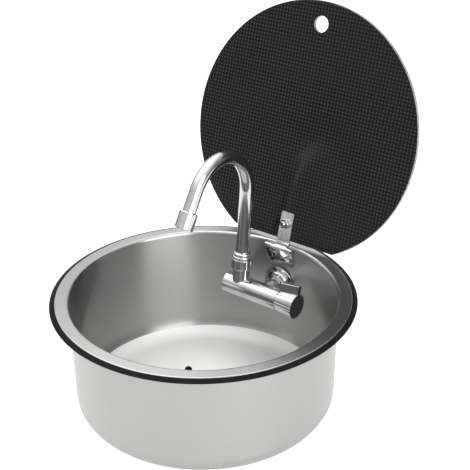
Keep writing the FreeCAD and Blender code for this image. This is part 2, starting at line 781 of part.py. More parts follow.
# Glass: a disc with one straight edge, a finger hole and a bolt hole
lid_r = s.wall_r + s.lid_over
glass = new_body("lid_glass")
glass_sketch = sketch_on(glass, "XY_Plane", s.lid_rise)
circle(glass_sketch, 0, -hinge_y, lid_r)
pad(glass, glass_sketch, s.glass_t)
chord_cut = sketch_on(glass, "XY_Plane", s.lid_rise)
outline(chord_cut, [
    (-lid_r, -s.chord_gap),
    (lid_r, -s.chord_gap),
    (lid_r, lid_r),
    (-lid_r, lid_r),
])
pocket(glass, chord_cut, s.glass_t, True)


def upright(edge):
    ends = [v.Point for v in edge.Vertexes]
    return len(ends) == 2 and abs(ends[0].z - ends[1].z) > s.glass_t.value - s.pick_slack.value


def outer_rim(edge):
    return edge.Length > lid_r.value / 2 or (
        hasattr(edge.Curve, "Radius") and abs(edge.Curve.Radius - s.lid_corner_r.value) < s.pick_slack.value)


round_edges(glass, upright, s.lid_corner_r)
round_edges(glass, outer_rim, s.glass_edge_r)
hole_sketch = sketch_on(glass, "XY_Plane", s.lid_rise)
circle(hole_sketch, 0, s.finger_inset - lid_r - hinge_y, s.finger_r)
circle(hole_sketch, s.strap_shift, -s.bolt_reach, s.bolt_r + s.bolt_gap + s.bush_t + s.fit_gap)
pocket(glass, hole_sketch, s.glass_t, True)
on_lid(keep(glass, "lid_glass"))

# Strap: leaf with a small bend beside its knuckle, which turns on the pin
strap = new_body("lid_strap")
strap_from = s.strap_shift - s.strap_w / 2
strap_to = s.strap_shift + s.strap_w / 2
root_in = s.knuckle_r - s.strap_t
strap_out = s.lid_rise - s.pad_t
strap_in = strap_out - s.strap_t
bend_end = s.strap_bend + s.strap_bend_l
strap_sketch = sketch_on(strap, "YZ_Plane", strap_from)
outline(strap_sketch, [
    (0, root_in),
    (-s.strap_bend, root_in),
    (-bend_end, strap_in),
    (-s.strap_l, strap_in),
    (-s.strap_l, strap_out),
    (-bend_end, strap_out),
    (-s.strap_bend, s.knuckle_r),
    (0, s.knuckle_r),
])
pad(strap, strap_sketch, s.strap_w)


def far_corner(edge):
    ends = [v.Point for v in edge.Vertexes]
    tall = len(ends) == 2 and abs(ends[0].z - ends[1].z) > s.strap_t.value - s.pick_slack.value
    return tall and max(ends[0].y, ends[1].y) < s.pick_slack.value - s.strap_l.value


round_edges(strap, far_corner, s.strap_round)
side_cut = sketch_on(strap, "XY_Plane", strap_out)
outline(side_cut, [
    (s.knuckle_w / 2, -s.strap_side_gap),
    (strap_to + s.over, -s.strap_side_gap),
    (strap_to + s.over, s.over),
    (s.knuckle_w / 2, s.over),
])
pocket(strap, side_cut, strap_out)
knuckle_sketch = sketch_on(strap, "YZ_Plane")
circle(knuckle_sketch, 0, 0, s.knuckle_r)
pad(strap, knuckle_sketch, s.knuckle_w, True)
bore_sketch = sketch_on(strap, "YZ_Plane")
circle(bore_sketch, 0, 0, s.pin_r + s.pin_run)
pocket(strap, bore_sketch, s.knuckle_w + s.over, False, True)
strap_hole = sketch_on(strap, "XY_Plane", strap_out)
circle(strap_hole, s.strap_shift, -s.bolt_reach, s.bolt_r + s.bolt_gap)
pocket(strap, strap_hole, strap_out)
on_lid(keep(strap, "lid_strap"))

# Rubber pad between strap and glass, with a bush round the bolt
lid_pad = new_body("lid_pad")
pad_sketch = sketch_on(lid_pad, "XY_Plane", strap_out)
outline(pad_sketch, [
    (strap_from, -s.strap_l),
    (strap_to, -s.strap_l),
    (strap_to, -s.pad_start),
    (strap_from, -s.pad_start),
])
pad(lid_pad, pad_sketch, s.pad_t)
bush_sketch = sketch_on(lid_pad, "XY_Plane", strap_out)
circle(bush_sketch, s.strap_shift, -s.bolt_reach, s.bolt_r + s.bolt_gap + s.bush_t)
pad(lid_pad, bush_sketch, s.pad_t + s.glass_t)
bush_hole = sketch_on(lid_pad, "XY_Plane", strap_out)
circle(bush_hole, s.strap_shift, -s.bolt_reach, s.bolt_r + s.bolt_gap)
pocket(lid_pad, bush_hole, s.lid_rise + s.glass_t, True)
on_lid(keep(lid_pad, "lid_pad"))


def on_bolt(obj):
    """Pieces round the lid bolt are drawn on its axis, with heights from the hinge axis."""
    far = s.bolt_reach
    return put(obj, s.strap_shift, hinge_y - far * cosine(s.lid_open), hinge_z + far * sine(s.lid_open),
               FreeCAD.Vector(-1, 0, 0), s.lid_open)


glass_top = s.lid_rise + s.glass_t
head_z = glass_top + s.washer_t
nut_washer_low = strap_in - s.washer_t
lid_nut_low = nut_washer_low - s.lid_nut_h
bolt_low = lid_nut_low - s.bolt_tip
bolt = new_body("lid_bolt")
revolve(bolt, [
    (0, bolt_low),
    (s.bolt_r - s.bolt_tip_bevel, bolt_low),
    (s.bolt_r, bolt_low + s.bolt_tip_bevel),
    (s.bolt_r, head_z),
    (s.bolt_head_r, head_z),
    (s.bolt_head_r, head_z + s.bolt_head_t),
    (0, head_z + s.bolt_head_t),
])
round_edges(bolt, ring_at(s.bolt_head_r, head_z + s.bolt_head_t), s.bolt_head_round)
on_bolt(keep(bolt, "lid_bolt"))
for node, radius, low, high in (
        ("lid_top_washer", s.top_washer_r, glass_top, head_z),
        ("lid_nut_washer", s.nut_washer_r, nut_washer_low, strap_in)):
    on_bolt(turned(node, [
        (s.bolt_r + s.fit_gap, low),
        (radius, low),
        (radius, high),
        (s.bolt_r + s.fit_gap, high),
    ]))
nut_corner = s.lid_nut_af / 2 / cosine(HEX_TURN)
nut_form = turned("lid_nut_form", [
    (s.bolt_r + s.fit_gap, lid_nut_low),
    (nut_corner - s.lid_nut_bevel, lid_nut_low),
    (nut_corner, lid_nut_low + s.lid_nut_bevel),
    (nut_corner, nut_washer_low - s.lid_nut_bevel / 2),
    (nut_corner - s.lid_nut_bevel / 2, nut_washer_low),
    (s.bolt_r + s.fit_gap, nut_washer_low),
], False)
lid_nut = common(put(hexagon(s.lid_nut_af, s.lid_nut_h), 0, 0, lid_nut_low), nut_form)
on_bolt(keep(lid_nut, "lid_nut"))

# Tap body: barrel, pivot spigot, neck and inlet shank in one casting
joint_left = s.riser_x + s.head_right
joint_right = joint_left + s.body_l
barrel_from = joint_left + s.joint_gap / 2
barrel_to = joint_right - s.joint_gap / 2
spigot_end = joint_left - s.spigot_l
wall_out = wall_at(s.wall_r, neck_z)
back_washer_y = wall_out + s.back_seal_t
back_nut_y = back_washer_y + s.back_washer_t
shank_end = back_nut_y + s.back_nut_h + s.shank_over
inlet_end = shank_end + s.inlet_l
chamber_from = joint_right - s.chamber_l
ring_floor = s.spigot_r - s.groove_d


def groove_on_spigot(centre, width, depth):
    ring = cut(
        cylinder(s.spigot_r + s.over, width, 0, 0, 0),
        cylinder(s.spigot_r - depth, width, 0, 0, 0))
    return put(ring, centre - width / 2, body_y, body_z, Y_AXIS, 90)


casting = fuse(
    along_x(s.body_r, barrel_from, barrel_to, body_y, body_z),
    along_x(s.spigot_r, spigot_end, barrel_from + s.over, body_y, body_z),
    along_y(s.shank_r, body_y, shank_end, 0, neck_z),
    along_y(s.inlet_r, body_y, inlet_end, 0, neck_z))
ring_places = (s.riser_x - s.pivot_ring_place, s.riser_x + s.pivot_ring_place)
tap_body = cut(
    casting,
    along_x(s.chamber_r, chamber_from, barrel_to + s.over, body_y, body_z),
    along_x(s.spigot_bore_r, spigot_end - s.over, chamber_from + s.over, body_y, body_z),
    along_y(s.shank_bore_r, body_y, inlet_end + s.over, 0, neck_z),
    cylinder(s.port_r, s.spigot_r * 2 + s.over, s.riser_x, body_y, body_z - s.spigot_r - s.over / 2),
    groove_on_spigot(s.riser_x, s.port_r * 2, s.port_groove),
    groove_on_spigot(ring_places[0], s.groove_w, s.groove_d),
    groove_on_spigot(ring_places[1], s.groove_w, s.groove_d))
keep(tap_body, "tap_body")


def o_ring(ring_floor_r):
    return torus(ring_floor_r + s.ring_wire_r + s.pin_run / 2, s.ring_wire_r)


keep(group(*[put(o_ring(ring_floor), x, body_y, body_z, Y_AXIS, 90) for x in ring_places]), "pivot_orings")

# Washer and screw that hold the head on the spigot
washer_from = spigot_end - s.pivot_washer_t
pivot_washer = cut(
    along_x(s.pivot_washer_r, washer_from, spigot_end, body_y, body_z),
    along_x(s.spigot_bore_r, washer_from - s.over, spigot_end + s.over, body_y, body_z))
keep(pivot_washer, "pivot_washer")
pivot_screw = fuse(
    along_x(s.pivot_screw_head_r, washer_from - s.pivot_screw_head_t, washer_from, body_y, body_z),
    along_x(s.spigot_bore_r - s.fit_gap, washer_from, spigot_end + s.pivot_screw_l, body_y, body_z))
keep(pivot_screw, "pivot_screw")

# Flange and seals at the bowl's wall
wall_in_here = wall_at(wall_in_r, neck_z)
flange_back = root(wall_in_here * wall_in_here - s.flange_r * s.flange_r) - s.wall_gap
flange = new_body("tap_flange")
flange_in = s.shank_r + s.fit_gap
revolve(flange, [
    (flange_in, 0),
    (s.flange_r, 0),
    (s.flange_r, s.flange_edge),
    (s.flange_neck_r + s.flange_edge, s.flange_edge * 2),
    (s.flange_neck_r, s.flange_h),
    (flange_in, s.flange_h),
])
round_edges(flange, ring_at(s.flange_neck_r + s.flange_edge, s.flange_edge * 2), s.flange_round)
round_edges(flange, ring_at(s.flange_r, s.flange_edge), s.flange_edge_round)
round_edges(flange, ring_at(s.flange_neck_r, s.flange_h), s.flange_edge_round)
put(keep(flange, "tap_flange"), 0, flange_back, neck_z, X_AXIS, 90)
span_low = neck_z - s.flange_r - s.over
span_high = neck_z + s.flange_r + s.over
wall_seal = cut(
    common(
        along_y(s.wall_seal_r, flange_back, wall_out, 0, neck_z),
        wall_cone(wall_in_r - s.wall_gap, span_low, span_high)),
    along_y(s.shank_r + s.fit_gap, flange_back - s.over, wall_out + s.over, 0, neck_z))
keep(wall_seal, "tap_wall_seal")
back_seal = cut(
    along_y(s.back_seal_r, body_y + s.body_inset - s.over, back_washer_y, 0, neck_z),
    wall_cone(s.wall_r + s.wall_gap, span_low, span_high),
    along_y(s.shank_r + s.fit_gap, body_y, back_washer_y + s.over, 0, neck_z))
keep(back_seal, "tap_back_seal")
back_washer = cut(
    along_y(s.back_seal_r, back_washer_y, back_nut_y, 0, neck_z),
    along_y(s.shank_r + s.fit_gap, body_y, back_nut_y + s.over, 0, neck_z))
keep(back_washer, "tap_back_washer")
back_nut = cut(hexagon(s.back_nut_af, s.back_nut_h), cylinder(s.shank_r + s.fit_gap, s.back_nut_h))
keep(put(back_nut, 0, back_nut_y, neck_z, X_AXIS, -90), "tap_back_nut")

# Valve cartridge, the nut that holds it, and the spindle
cartridge_to = barrel_to - s.gland_l - s.fit_gap
cartridge_from = cartridge_to - s.cartridge_l
cartridge_r = s.chamber_r - s.fit_gap
spindle_from = cartridge_to - s.spindle_deep
cartridge = cut(
    along_x(cartridge_r, cartridge_from, cartridge_to, body_y, body_z),
    along_x(s.spindle_r + s.run_gap, spindle_from - s.fit_gap, cartridge_to + s.over, body_y, body_z),
    along_x(s.spigot_bore_r, cartridge_from - s.over, cartridge_from + s.cartridge_face, body_y, body_z))
keep(cartridge, "valve_cartridge")
gland = cut(
    along_x(cartridge_r, cartridge_to + s.fit_gap, barrel_to, body_y, body_z),
    along_x(s.spindle_r + s.joint_gap, cartridge_to, barrel_to + s.over, body_y, body_z))
keep(gland, "cartridge_nut")
spindle_to = joint_right + s.spindle_out
spindle = cut(
    along_x(s.spindle_r, spindle_from, spindle_to, body_y, body_z),
    along_x(s.knob_screw_r + s.fit_gap, spindle_to - s.knob_screw_l, spindle_to + s.over, body_y, body_z))
keep(spindle, "valve_spindle")

# Knob: a fluted cone with a straight thumb wing, drawn along Z from its root
FLUTES = 8
knob_from = joint_right + s.joint_gap / 2
flare = arctangent((s.knob_end_r - s.knob_root_r) / s.knob_l)
flute_out = s.knob_root_r + s.flute_r - s.flute_d - s.over * (s.knob_end_r - s.knob_root_r) / s.knob_l


def on_knob(obj):
    """Pieces of the knob are drawn along Z from its root and laid along the barrel."""
    return put(obj, knob_from, body_y, body_z, Y_AXIS, 90)


def flute(turn):
    """A round groove along the cone, at an angle from the wing's side."""
    axis = FreeCAD.Vector(-math.sin(turn), math.cos(turn), 0)
    return cylinder(s.flute_r, s.knob_l + s.over * 3, flute_out * math.cos(turn), flute_out * math.sin(turn),
                    -s.over, axis, flare)


cone = doc.addObject("Part::Cone", "Cone")
bind(cone, "Radius1", s.knob_root_r)
bind(cone, "Radius2", s.knob_end_r)
bind(cone, "Height", s.knob_l)
fluted = cut(cone, *[flute(math.pi * (2 * i + 1) / FLUTES) for i in range(FLUTES)])
wing = new_body("knob_wing")
wing_sketch = sketch_on(wing, "XZ_Plane")
outline(wing_sketch, [
    (0, 0),
    (-s.knob_wing_r, 0),
    (-s.knob_wing_end, s.knob_l),
    (0, s.knob_l),
])
pad(wing, wing_sketch, s.knob_wing_w, True)


def wing_crest(edge):
    ends = [v.Point for v in edge.Vertexes]
    return len(ends) == 2 and max(p.x for p in ends) < s.pick_slack.value - s.knob_wing_r.value


def only_long(edge):
    return wing_crest(edge) and edge.Length > s.knob_wing_w.value * 2


round_edges(wing, only_long, s.knob_wing_round)
put(wing, 0, 0, 0, Z_AXIS, -s.knob_wing_turn)
plate_z = s.knob_l - s.cap_sink - s.cap_t
plate_r = s.knob_end_r - s.flute_d - s.cap_inset


def plate_form(depth, gap):
    """Round with the wing's shape on it, for the end plate and its pocket."""
    half = s.knob_wing_w / 2 - s.cap_inset - gap
    arm = box((s.cap_inset + gap - s.knob_wing_end, 0), (-half, half), (0, depth))
    return arm, cylinder(plate_r - gap, depth)


def place_arm(arm, gap, z):
    """Turn the arm to the wing, keeping its inner edge on the knob's axis."""
    reach = s.knob_wing_end - s.cap_inset - gap
    half = s.knob_wing_w / 2 - s.cap_inset - gap
    x = half * -sine(s.knob_wing_turn) - reach * cosine(s.knob_wing_turn)
    y = reach * sine(s.knob_wing_turn) - half * cosine(s.knob_wing_turn)
    return put(arm, x, y, z, Z_AXIS, -s.knob_wing_turn)


pocket_arm, pocket_round = plate_form(s.cap_t + s.cap_sink + s.over, 0)
place_arm(pocket_arm, 0, plate_z)
put(pocket_round, 0, 0, plate_z)
screw_floor = plate_z - s.knob_screw_head_t - s.fit_gap
knob = cut(
    fuse(fluted, wing),
    pocket_arm,
    pocket_round,
    cylinder(s.spindle_r + s.fit_gap, s.spindle_out + s.over, 0, 0, -s.over),
    cylinder(s.knob_screw_r + s.fit_gap, s.knob_l),
    cylinder(s.knob_screw_head_r + s.fit_gap, s.knob_l, 0, 0, screw_floor))
on_knob(keep(knob, "tap_knob"))
plate_arm, plate_round = plate_form(s.cap_t, s.fit_gap)
place_arm(plate_arm, s.fit_gap, plate_z)
put(plate_round, 0, 0, plate_z)
on_knob(keep(fuse(plate_arm, plate_round), "knob_cap"))
screw_low = plate_z - s.knob_screw_head_t
knob_screw = fuse(
    cylinder(s.knob_screw_head_r, s.knob_screw_head_t - s.fit_gap / 2, 0, 0, screw_low),
    cylinder(s.knob_screw_r, s.knob_screw_l, 0, 0, screw_low - s.knob_screw_l + s.fit_gap))
on_knob(keep(knob_screw, "knob_screw"))


def on_head(obj):
    """Pieces of the folding head are drawn upright on the barrel's axis and lean to the wall."""
    return put(obj, s.riser_x, body_y, body_z, FreeCAD.Vector(-1, 0, 0), s.lean)


# Swivel head: barrel on the spigot, boss and threaded stem
head_from_x = s.end_cap_t - s.head_left
head_to_x = s.head_right - s.joint_gap / 2
room_to_x = s.head_right - s.spigot_l + s.joint_gap
head = cut(
    fuse(
        along_x(s.body_r, head_from_x, head_to_x),
        cylinder(s.boss_r, s.boss_top),
        cylinder(s.stem_r, s.stem_top - s.body_r, 0, 0, s.body_r)),
    along_x(s.spigot_r + s.run_gap, head_from_x - s.over, head_to_x + s.over),
    along_x(s.pivot_room_r, head_from_x - s.over, room_to_x),
    cylinder(s.tube_r + s.run_gap, s.stem_top, 0, 0, s.socket_floor),
    cylinder(s.foot_bore_r, s.socket_floor, 0, 0, s.spigot_r - s.over / 2))
head = cut(head, cut(
    cylinder(s.stem_r + s.over, s.boss_top - s.body_r, 0, 0, s.body_r),
    cylinder(s.boss_r, s.boss_top - s.body_r, 0, 0, s.body_r),
    along_x(s.body_r, head_from_x, head_to_x)))
on_head(keep(head, "swivel_head"))

# Cap on the barrel's end
end_cap = fuse(
    along_x(s.body_r, -s.head_left, head_from_x),
    along_x(s.pivot_room_r - s.fit_gap, head_from_x, head_from_x + s.end_cap_spigot))
on_head(keep(end_cap, "head_end_cap"))

# Collar nut on the stem, whose lip holds the spout down
collar = new_body("collar_nut")
lip_low = s.collar_top - s.collar_lip
revolve(collar, [
    (s.stem_r + s.fit_gap, s.boss_top + s.fit_gap),
    (s.collar_r - s.collar_bevel, s.boss_top + s.fit_gap),
    (s.collar_r, s.boss_top + s.fit_gap + s.collar_bevel),
    (s.collar_r, s.collar_top - s.collar_bevel),
    (s.collar_r - s.collar_bevel, s.collar_top),
    (s.tube_r + s.collar_gap, s.collar_top),
    (s.tube_r + s.collar_gap, lip_low),
    (s.stem_r + s.fit_gap, lip_low),
])
on_head(keep(collar, "collar_nut"))

# Spout's foot: turned spigot with two O-ring grooves, a stop flange and an insert in the tube
foot_low = s.socket_floor + s.joint_gap
ring_low = foot_low + s.spout_ring_place
ring_high = ring_low + s.spout_ring_step
stop_low = s.stem_top + s.fit_gap
tube_foot = s.collar_top + s.fit_gap
foot_floor = s.tube_r - s.groove_d
half_w = s.groove_w / 2
insert_r = s.tube_r - s.tube_t - s.pin_run
foot = turned("spout_spigot", [
    (s.foot_bore_r, foot_low),
    (s.tube_r, foot_low),
    (s.tube_r, ring_low - half_w),
    (foot_floor, ring_low - half_w),
    (foot_floor, ring_low + half_w),
    (s.tube_r, ring_low + half_w),
    (s.tube_r, ring_high - half_w),
    (foot_floor, ring_high - half_w),
    (foot_floor, ring_high + half_w),
    (s.tube_r, ring_high + half_w),
    (s.tube_r, stop_low),
    (s.stop_r, stop_low),
    (s.stop_r, stop_low + s.stop_t),
    (s.tube_r, stop_low + s.stop_t),
    (s.tube_r, tube_foot),
    (insert_r, tube_foot),
    (insert_r, tube_foot + s.foot_insert),
    (s.foot_bore_r, tube_foot + s.foot_insert),
])
on_head(foot)


def head_ring(height):
    """An O-ring round the leaning riser at a height above the barrel's axis."""
    return put(o_ring(foot_floor), s.riser_x, body_y + height * sine(s.lean), body_z + height * cosine(s.lean),
               FreeCAD.Vector(-1, 0, 0), s.lean)


keep(group(head_ring(ring_low), head_ring(ring_high)), "spout_orings")

# Ferrule with two polished beads
bead_low = tube_foot + s.bead_wire_r + s.fit_gap
bead_high = bead_low + s.bead_wire_r * 2
ferrule = cut(
    fuse(
        cylinder(s.ferrule_r, s.ferrule_l, 0, 0, tube_foot),
        torus(s.bead_big_r - s.bead_wire_r, s.bead_wire_r, bead_low),
        torus(s.bead_small_r - s.bead_wire_r, s.bead_wire_r, bead_high)),
    cylinder(s.tube_r + s.pin_run, s.ferrule_l + s.over * 2, 0, 0, tube_foot - s.over))
on_head(keep(ferrule, "spout_ferrule"))

# Spout tube: riser, arch and tail in one bent pipe
tube = new_body("spout_tube")
path = sketch_on(tube, "YZ_Plane")
arc_end_y = s.arch_r * cosine(s.arch_angle) - s.arch_r
arc_end_z = s.riser_h + s.arch_r * sine(s.arch_angle)
tail_y = arc_end_y - s.tail_l * sine(s.arch_angle)
tail_z = arc_end_z + s.tail_l * cosine(s.arch_angle)
low_point = FreeCAD.Vector(0, tube_foot.value, 0)
high_point = FreeCAD.Vector(0, s.riser_h.value, 0)
path.addGeometry(Part.LineSegment(low_point, high_point), False)
arch_centre = FreeCAD.Vector(-s.arch_r.value, s.riser_h.value, 0)
arch_circle = Part.Circle(arch_centre, FreeCAD.Vector(0, 0, 1), s.arch_r.value)
path.addGeometry(Part.ArcOfCircle(arch_circle, 0, math.radians(s.arch_angle.value)), False)
bend_point = FreeCAD.Vector(arc_end_y.value, arc_end_z.value, 0)
tail_point = FreeCAD.Vector(tail_y.value, tail_z.value, 0)
path.addGeometry(Part.LineSegment(bend_point, tail_point), False)
path.addConstraint(Sketcher.Constraint("Coincident", 0, 2, 1, 1))
path.addConstraint(Sketcher.Constraint("Coincident", 1, 2, 2, 1))
fix_point(path, 0, 1, 0, tube_foot)
fix_point(path, 0, 2, 0, s.riser_h)
fix_point(path, 1, 3, -s.arch_r, s.riser_h)
span = path.addConstraint(Sketcher.Constraint("Angle", 1, math.radians(s.arch_angle.value)))
path.setExpression("Constraints[%d]" % span, s.arch_angle.text)
fix_point(path, 2, 2, tail_y, tail_z)
ring_sketch = sketch_on(tube, "XY_Plane", tube_foot)
circle(ring_sketch, 0, 0, s.tube_r)
circle(ring_sketch, 0, 0, s.tube_r - s.tube_t)
doc.recompute()
pipe = tube.newObject("PartDesign::AdditivePipe", "Pipe")
pipe.Profile = ring_sketch
pipe.Spine = path
doc.recompute()
on_head(keep(tube, "spout_tube"))


def at_outlet(obj):
    """Pieces of the aerator are drawn from the tube's end, along its direction."""
    y = body_y + tail_y * cosine(s.lean) + tail_z * sine(s.lean)
    z = body_z - tail_y * sine(s.lean) + tail_z * cosine(s.lean)
    return put(obj, s.riser_x, y, z, X_AXIS, s.arch_angle - s.lean)


# Aerator: housing over the tube's end, washer and insert with its jets
housing = new_body("aerator_housing")
housing_end = s.aerator_l - s.aerator_over
room_r = s.aerator_r - s.aerator_wall
revolve(housing, [
    (s.tube_r + s.pin_run, -s.aerator_over),
    (s.aerator_r, -s.aerator_over),
    (s.aerator_r, housing_end),
    (room_r, housing_end),
    (room_r, s.aerator_stop),
    (s.tube_r - s.tube_t, s.aerator_stop),
    (s.tube_r - s.tube_t, s.fit_gap),
    (s.tube_r + s.pin_run, s.fit_gap),
])
round_edges(housing, ring_at(s.aerator_r, -s.aerator_over), s.aerator_round - s.tube_t)
round_edges(housing, ring_at(s.aerator_r, housing_end), s.aerator_wall / 2)
at_outlet(keep(housing, "aerator_housing"))
washer_low = s.aerator_stop + s.fit_gap
insert_low = washer_low + s.seal_ring_t
insert_r_out = room_r - s.insert_gap
at_outlet(turned("aerator_washer", [
    (s.foot_bore_r, washer_low),
    (insert_r_out, washer_low),
    (insert_r_out, insert_low),
    (s.foot_bore_r, insert_low),
]))
insert = new_body("aerator_insert")
insert_sketch = sketch_on(insert, "XY_Plane", insert_low + s.fit_gap)
circle(insert_sketch, 0, 0, insert_r_out)
pad(insert, insert_sketch, housing_end - s.insert_sink - insert_low - s.fit_gap)
jets = sketch_on(insert, "XY_Plane", insert_low)
circle(jets, 0, 0, s.jet_r)
JET_RING_SHARES = {6: 0.36, 12: 0.72}
for ring_count, ring_share in JET_RING_SHARES.items():
    for i in range(ring_count):
        turn = 2 * math.pi * i / ring_count
        jet_x = insert_r_out * (ring_share * math.cos(turn))
        jet_y = insert_r_out * (ring_share * math.sin(turn))
        circle(jets, jet_x, jet_y, s.jet_r)
pocket(insert, jets, s.aerator_l, True)
at_outlet(keep(insert, "aerator_insert"))

# Nothing is written unless every object is sound
doc.recompute()
bad = [o.Label for o in doc.Objects if "Invalid" in o.State or "Error" in o.State]
if bad:
    raise RuntimeError("objects that failed: " + ", ".join(bad))
os.makedirs("parts", exist_ok=True)
for obj in parts:
    shape = obj.Shape
    if shape.isNull() or not shape.isValid() or not shape.Solids:
        raise RuntimeError("no sound solid in " + obj.Label)
for obj in parts:
    obj.Shape.exportStep(os.path.join("parts", obj.Label + ".step"))
    print("%-18s %d solid(s) %9.1f mm3" % (obj.Label, len(obj.Shape.Solids), obj.Shape.Volume))
print(len(parts), "pieces")
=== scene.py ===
# %% [markdown]
# A small round hand sink with a black glass lid and a tap that folds down inside the bowl. The
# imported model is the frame: its nodes are in metres and stay where they are. Each visible node
# either keeps its mesh and gets a better finish, or is replaced by a finer surface that is worked
# out with numpy from the same sizes.

# %% Load the frame
import json
import math

import bmesh
import bpy
import numpy as np
from mathutils import Matrix, Vector


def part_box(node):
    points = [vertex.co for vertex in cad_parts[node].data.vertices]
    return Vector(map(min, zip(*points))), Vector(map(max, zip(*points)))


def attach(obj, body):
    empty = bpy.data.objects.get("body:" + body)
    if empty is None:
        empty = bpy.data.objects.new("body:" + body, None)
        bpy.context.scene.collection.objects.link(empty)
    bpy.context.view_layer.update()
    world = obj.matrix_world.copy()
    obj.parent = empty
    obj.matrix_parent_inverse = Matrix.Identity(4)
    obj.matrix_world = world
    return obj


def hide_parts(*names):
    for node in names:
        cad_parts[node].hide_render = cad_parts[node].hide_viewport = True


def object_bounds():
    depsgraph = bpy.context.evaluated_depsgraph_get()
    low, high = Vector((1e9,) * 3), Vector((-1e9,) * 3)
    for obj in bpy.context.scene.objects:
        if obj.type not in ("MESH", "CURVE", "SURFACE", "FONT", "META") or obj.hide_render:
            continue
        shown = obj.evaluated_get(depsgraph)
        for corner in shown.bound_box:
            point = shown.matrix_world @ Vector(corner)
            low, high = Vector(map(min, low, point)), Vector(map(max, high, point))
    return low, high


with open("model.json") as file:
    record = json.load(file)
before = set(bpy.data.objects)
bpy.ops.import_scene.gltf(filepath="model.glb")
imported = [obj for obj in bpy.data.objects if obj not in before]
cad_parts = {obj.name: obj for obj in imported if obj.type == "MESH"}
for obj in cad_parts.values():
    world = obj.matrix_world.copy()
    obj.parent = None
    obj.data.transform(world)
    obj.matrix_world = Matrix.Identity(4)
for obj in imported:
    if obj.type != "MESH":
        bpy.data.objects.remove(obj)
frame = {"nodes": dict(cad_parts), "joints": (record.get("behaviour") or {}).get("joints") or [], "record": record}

cad_low, cad_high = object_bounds()
nodes = frame["nodes"]
record = frame["record"]
print("frame:", len(nodes), "nodes, box", [round(v * 1000, 1) for v in (*cad_low, *cad_high)])

# %% [markdown]
# Drawing sizes are in millimetres, as on a workshop drawing, and become metres when a mesh is
# made. The object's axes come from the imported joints, so a piece turns about the same line in the
# picture as in the model.

# %% Places and axes
MM = 0.001
joints = {joint["name"]: joint for joint in frame["joints"]}
hinge = np.array(joints["lid_hinge"]["pos_m"]) / MM
tap = np.array(joints["tap_fold"]["pos_m"]) / MM
riser_axis = np.array(joints["spout_swivel"]["axis"])
LEAN = math.degrees(math.atan2(riser_axis[1], riser_axis[2]))
LID_OPEN = joints["lid_hinge"]["range_deg"][1]
ARCH_ANGLE = 153.0  # bend of the spout, in degrees
NECK_Z = -50.0  # height of the flange's middle
DRAIN = (-36.9, 12.7)  # middle of the drain, seen from above


def placed(x, y, z, axis="X", degrees=0.0):
    """A 4 by 4 place: first a turn about one of the part's axes, then a move, in millimetres."""
    return Matrix.Translation((x, y, z)) @ Matrix.Rotation(math.radians(degrees), 4, axis)


AT_ORIGIN = Matrix.Identity(4)
AT_LID = placed(hinge[0], hinge[1], hinge[2], "X", -LID_OPEN)
AT_HEAD = placed(tap[0], tap[1], tap[2], "X", -LEAN)
print("riser leans", round(LEAN, 2), "degrees, lid stands", LID_OPEN)

# %% [markdown]
# Most pieces here are turned or pressed, so their surface is a grid: an outline carried round an
# axis or along a path. A function gives all the points at once, and another one joins neighbours
# with four-sided faces. Edges sharper than a limit stay crisp and all the rest is shaded smooth.


# %% Grid to mesh
MERGE_WITHIN = MM / 2000
EMPTY_BELOW = MM / 5000


def grid_faces(rows, columns, wrap_rows, wrap_columns):
    """Four-sided faces between neighbouring rows and columns of points, numbered row by row."""
    row = np.arange(rows if wrap_rows else rows - 1)
    column = np.arange(columns if wrap_columns else columns - 1)
    row, column = np.meshgrid(row, column, indexing="ij")
    row_next, column_next = (row + 1) % rows, (column + 1) % columns
    corners = (row * columns + column, row * columns + column_next,
               row_next * columns + column_next, row_next * columns + column)
    return np.stack(corners, axis=-1).reshape(-1, 4)


def volume_of(points, quads):
    """Signed volume of a closed surface: a sixth of the sum of its triangles' triple products."""
    triangles = np.concatenate((quads[:, (0, 1, 2)], quads[:, (0, 2, 3)]))
    a, b, c = (points[triangles[:, i]] for i in range(3))
    return float(np.einsum("ij,ij->i", a, np.cross(b, c)).sum() / 6)


def apply_place(points, place):
    """Points turned and moved by a 4 by 4 place."""
    turn = np.array(place.to_3x3())
    return points @ turn.T + np.array(place.translation)


def make_piece(name, points, quads, place, crisp=32):
    """A mesh object at the origin from points in millimetres, facing outwards, doubles merged."""
    if volume_of(points, quads) < 0:
        quads = quads[:, ::-1]
    mesh = bpy.data.meshes.new(name)
    mesh.from_pydata((apply_place(points, place) * MM).tolist(), [], quads.tolist())
    finish_mesh(mesh, crisp)
    piece = bpy.data.objects.new(name, mesh)
    bpy.context.scene.collection.objects.link(piece)
    return piece


def finish_mesh(mesh, crisp):
    """Merge doubles, drop empty faces, shade smooth, and mark the edges that turn by more than
    `crisp` degrees."""
    shell = bmesh.new()
    shell.from_mesh(mesh)
    bmesh.ops.remove_doubles(shell, verts=shell.verts, dist=MERGE_WITHIN)
    bmesh.ops.dissolve_degenerate(shell, edges=shell.edges, dist=EMPTY_BELOW)
    shell.to_mesh(mesh)
    shell.free()
    mesh.shade_smooth()
    mesh.set_sharp_from_angle(angle=math.radians(crisp))


# %% [markdown]
# An outline is a list of corners, each with its own rounding, as a turner reads a drawing. The
# rounding is an arc that touches both sides of its corner. Each straight side also gets a point
# close to both its ends, so that the shading of the arc stops where the arc does.


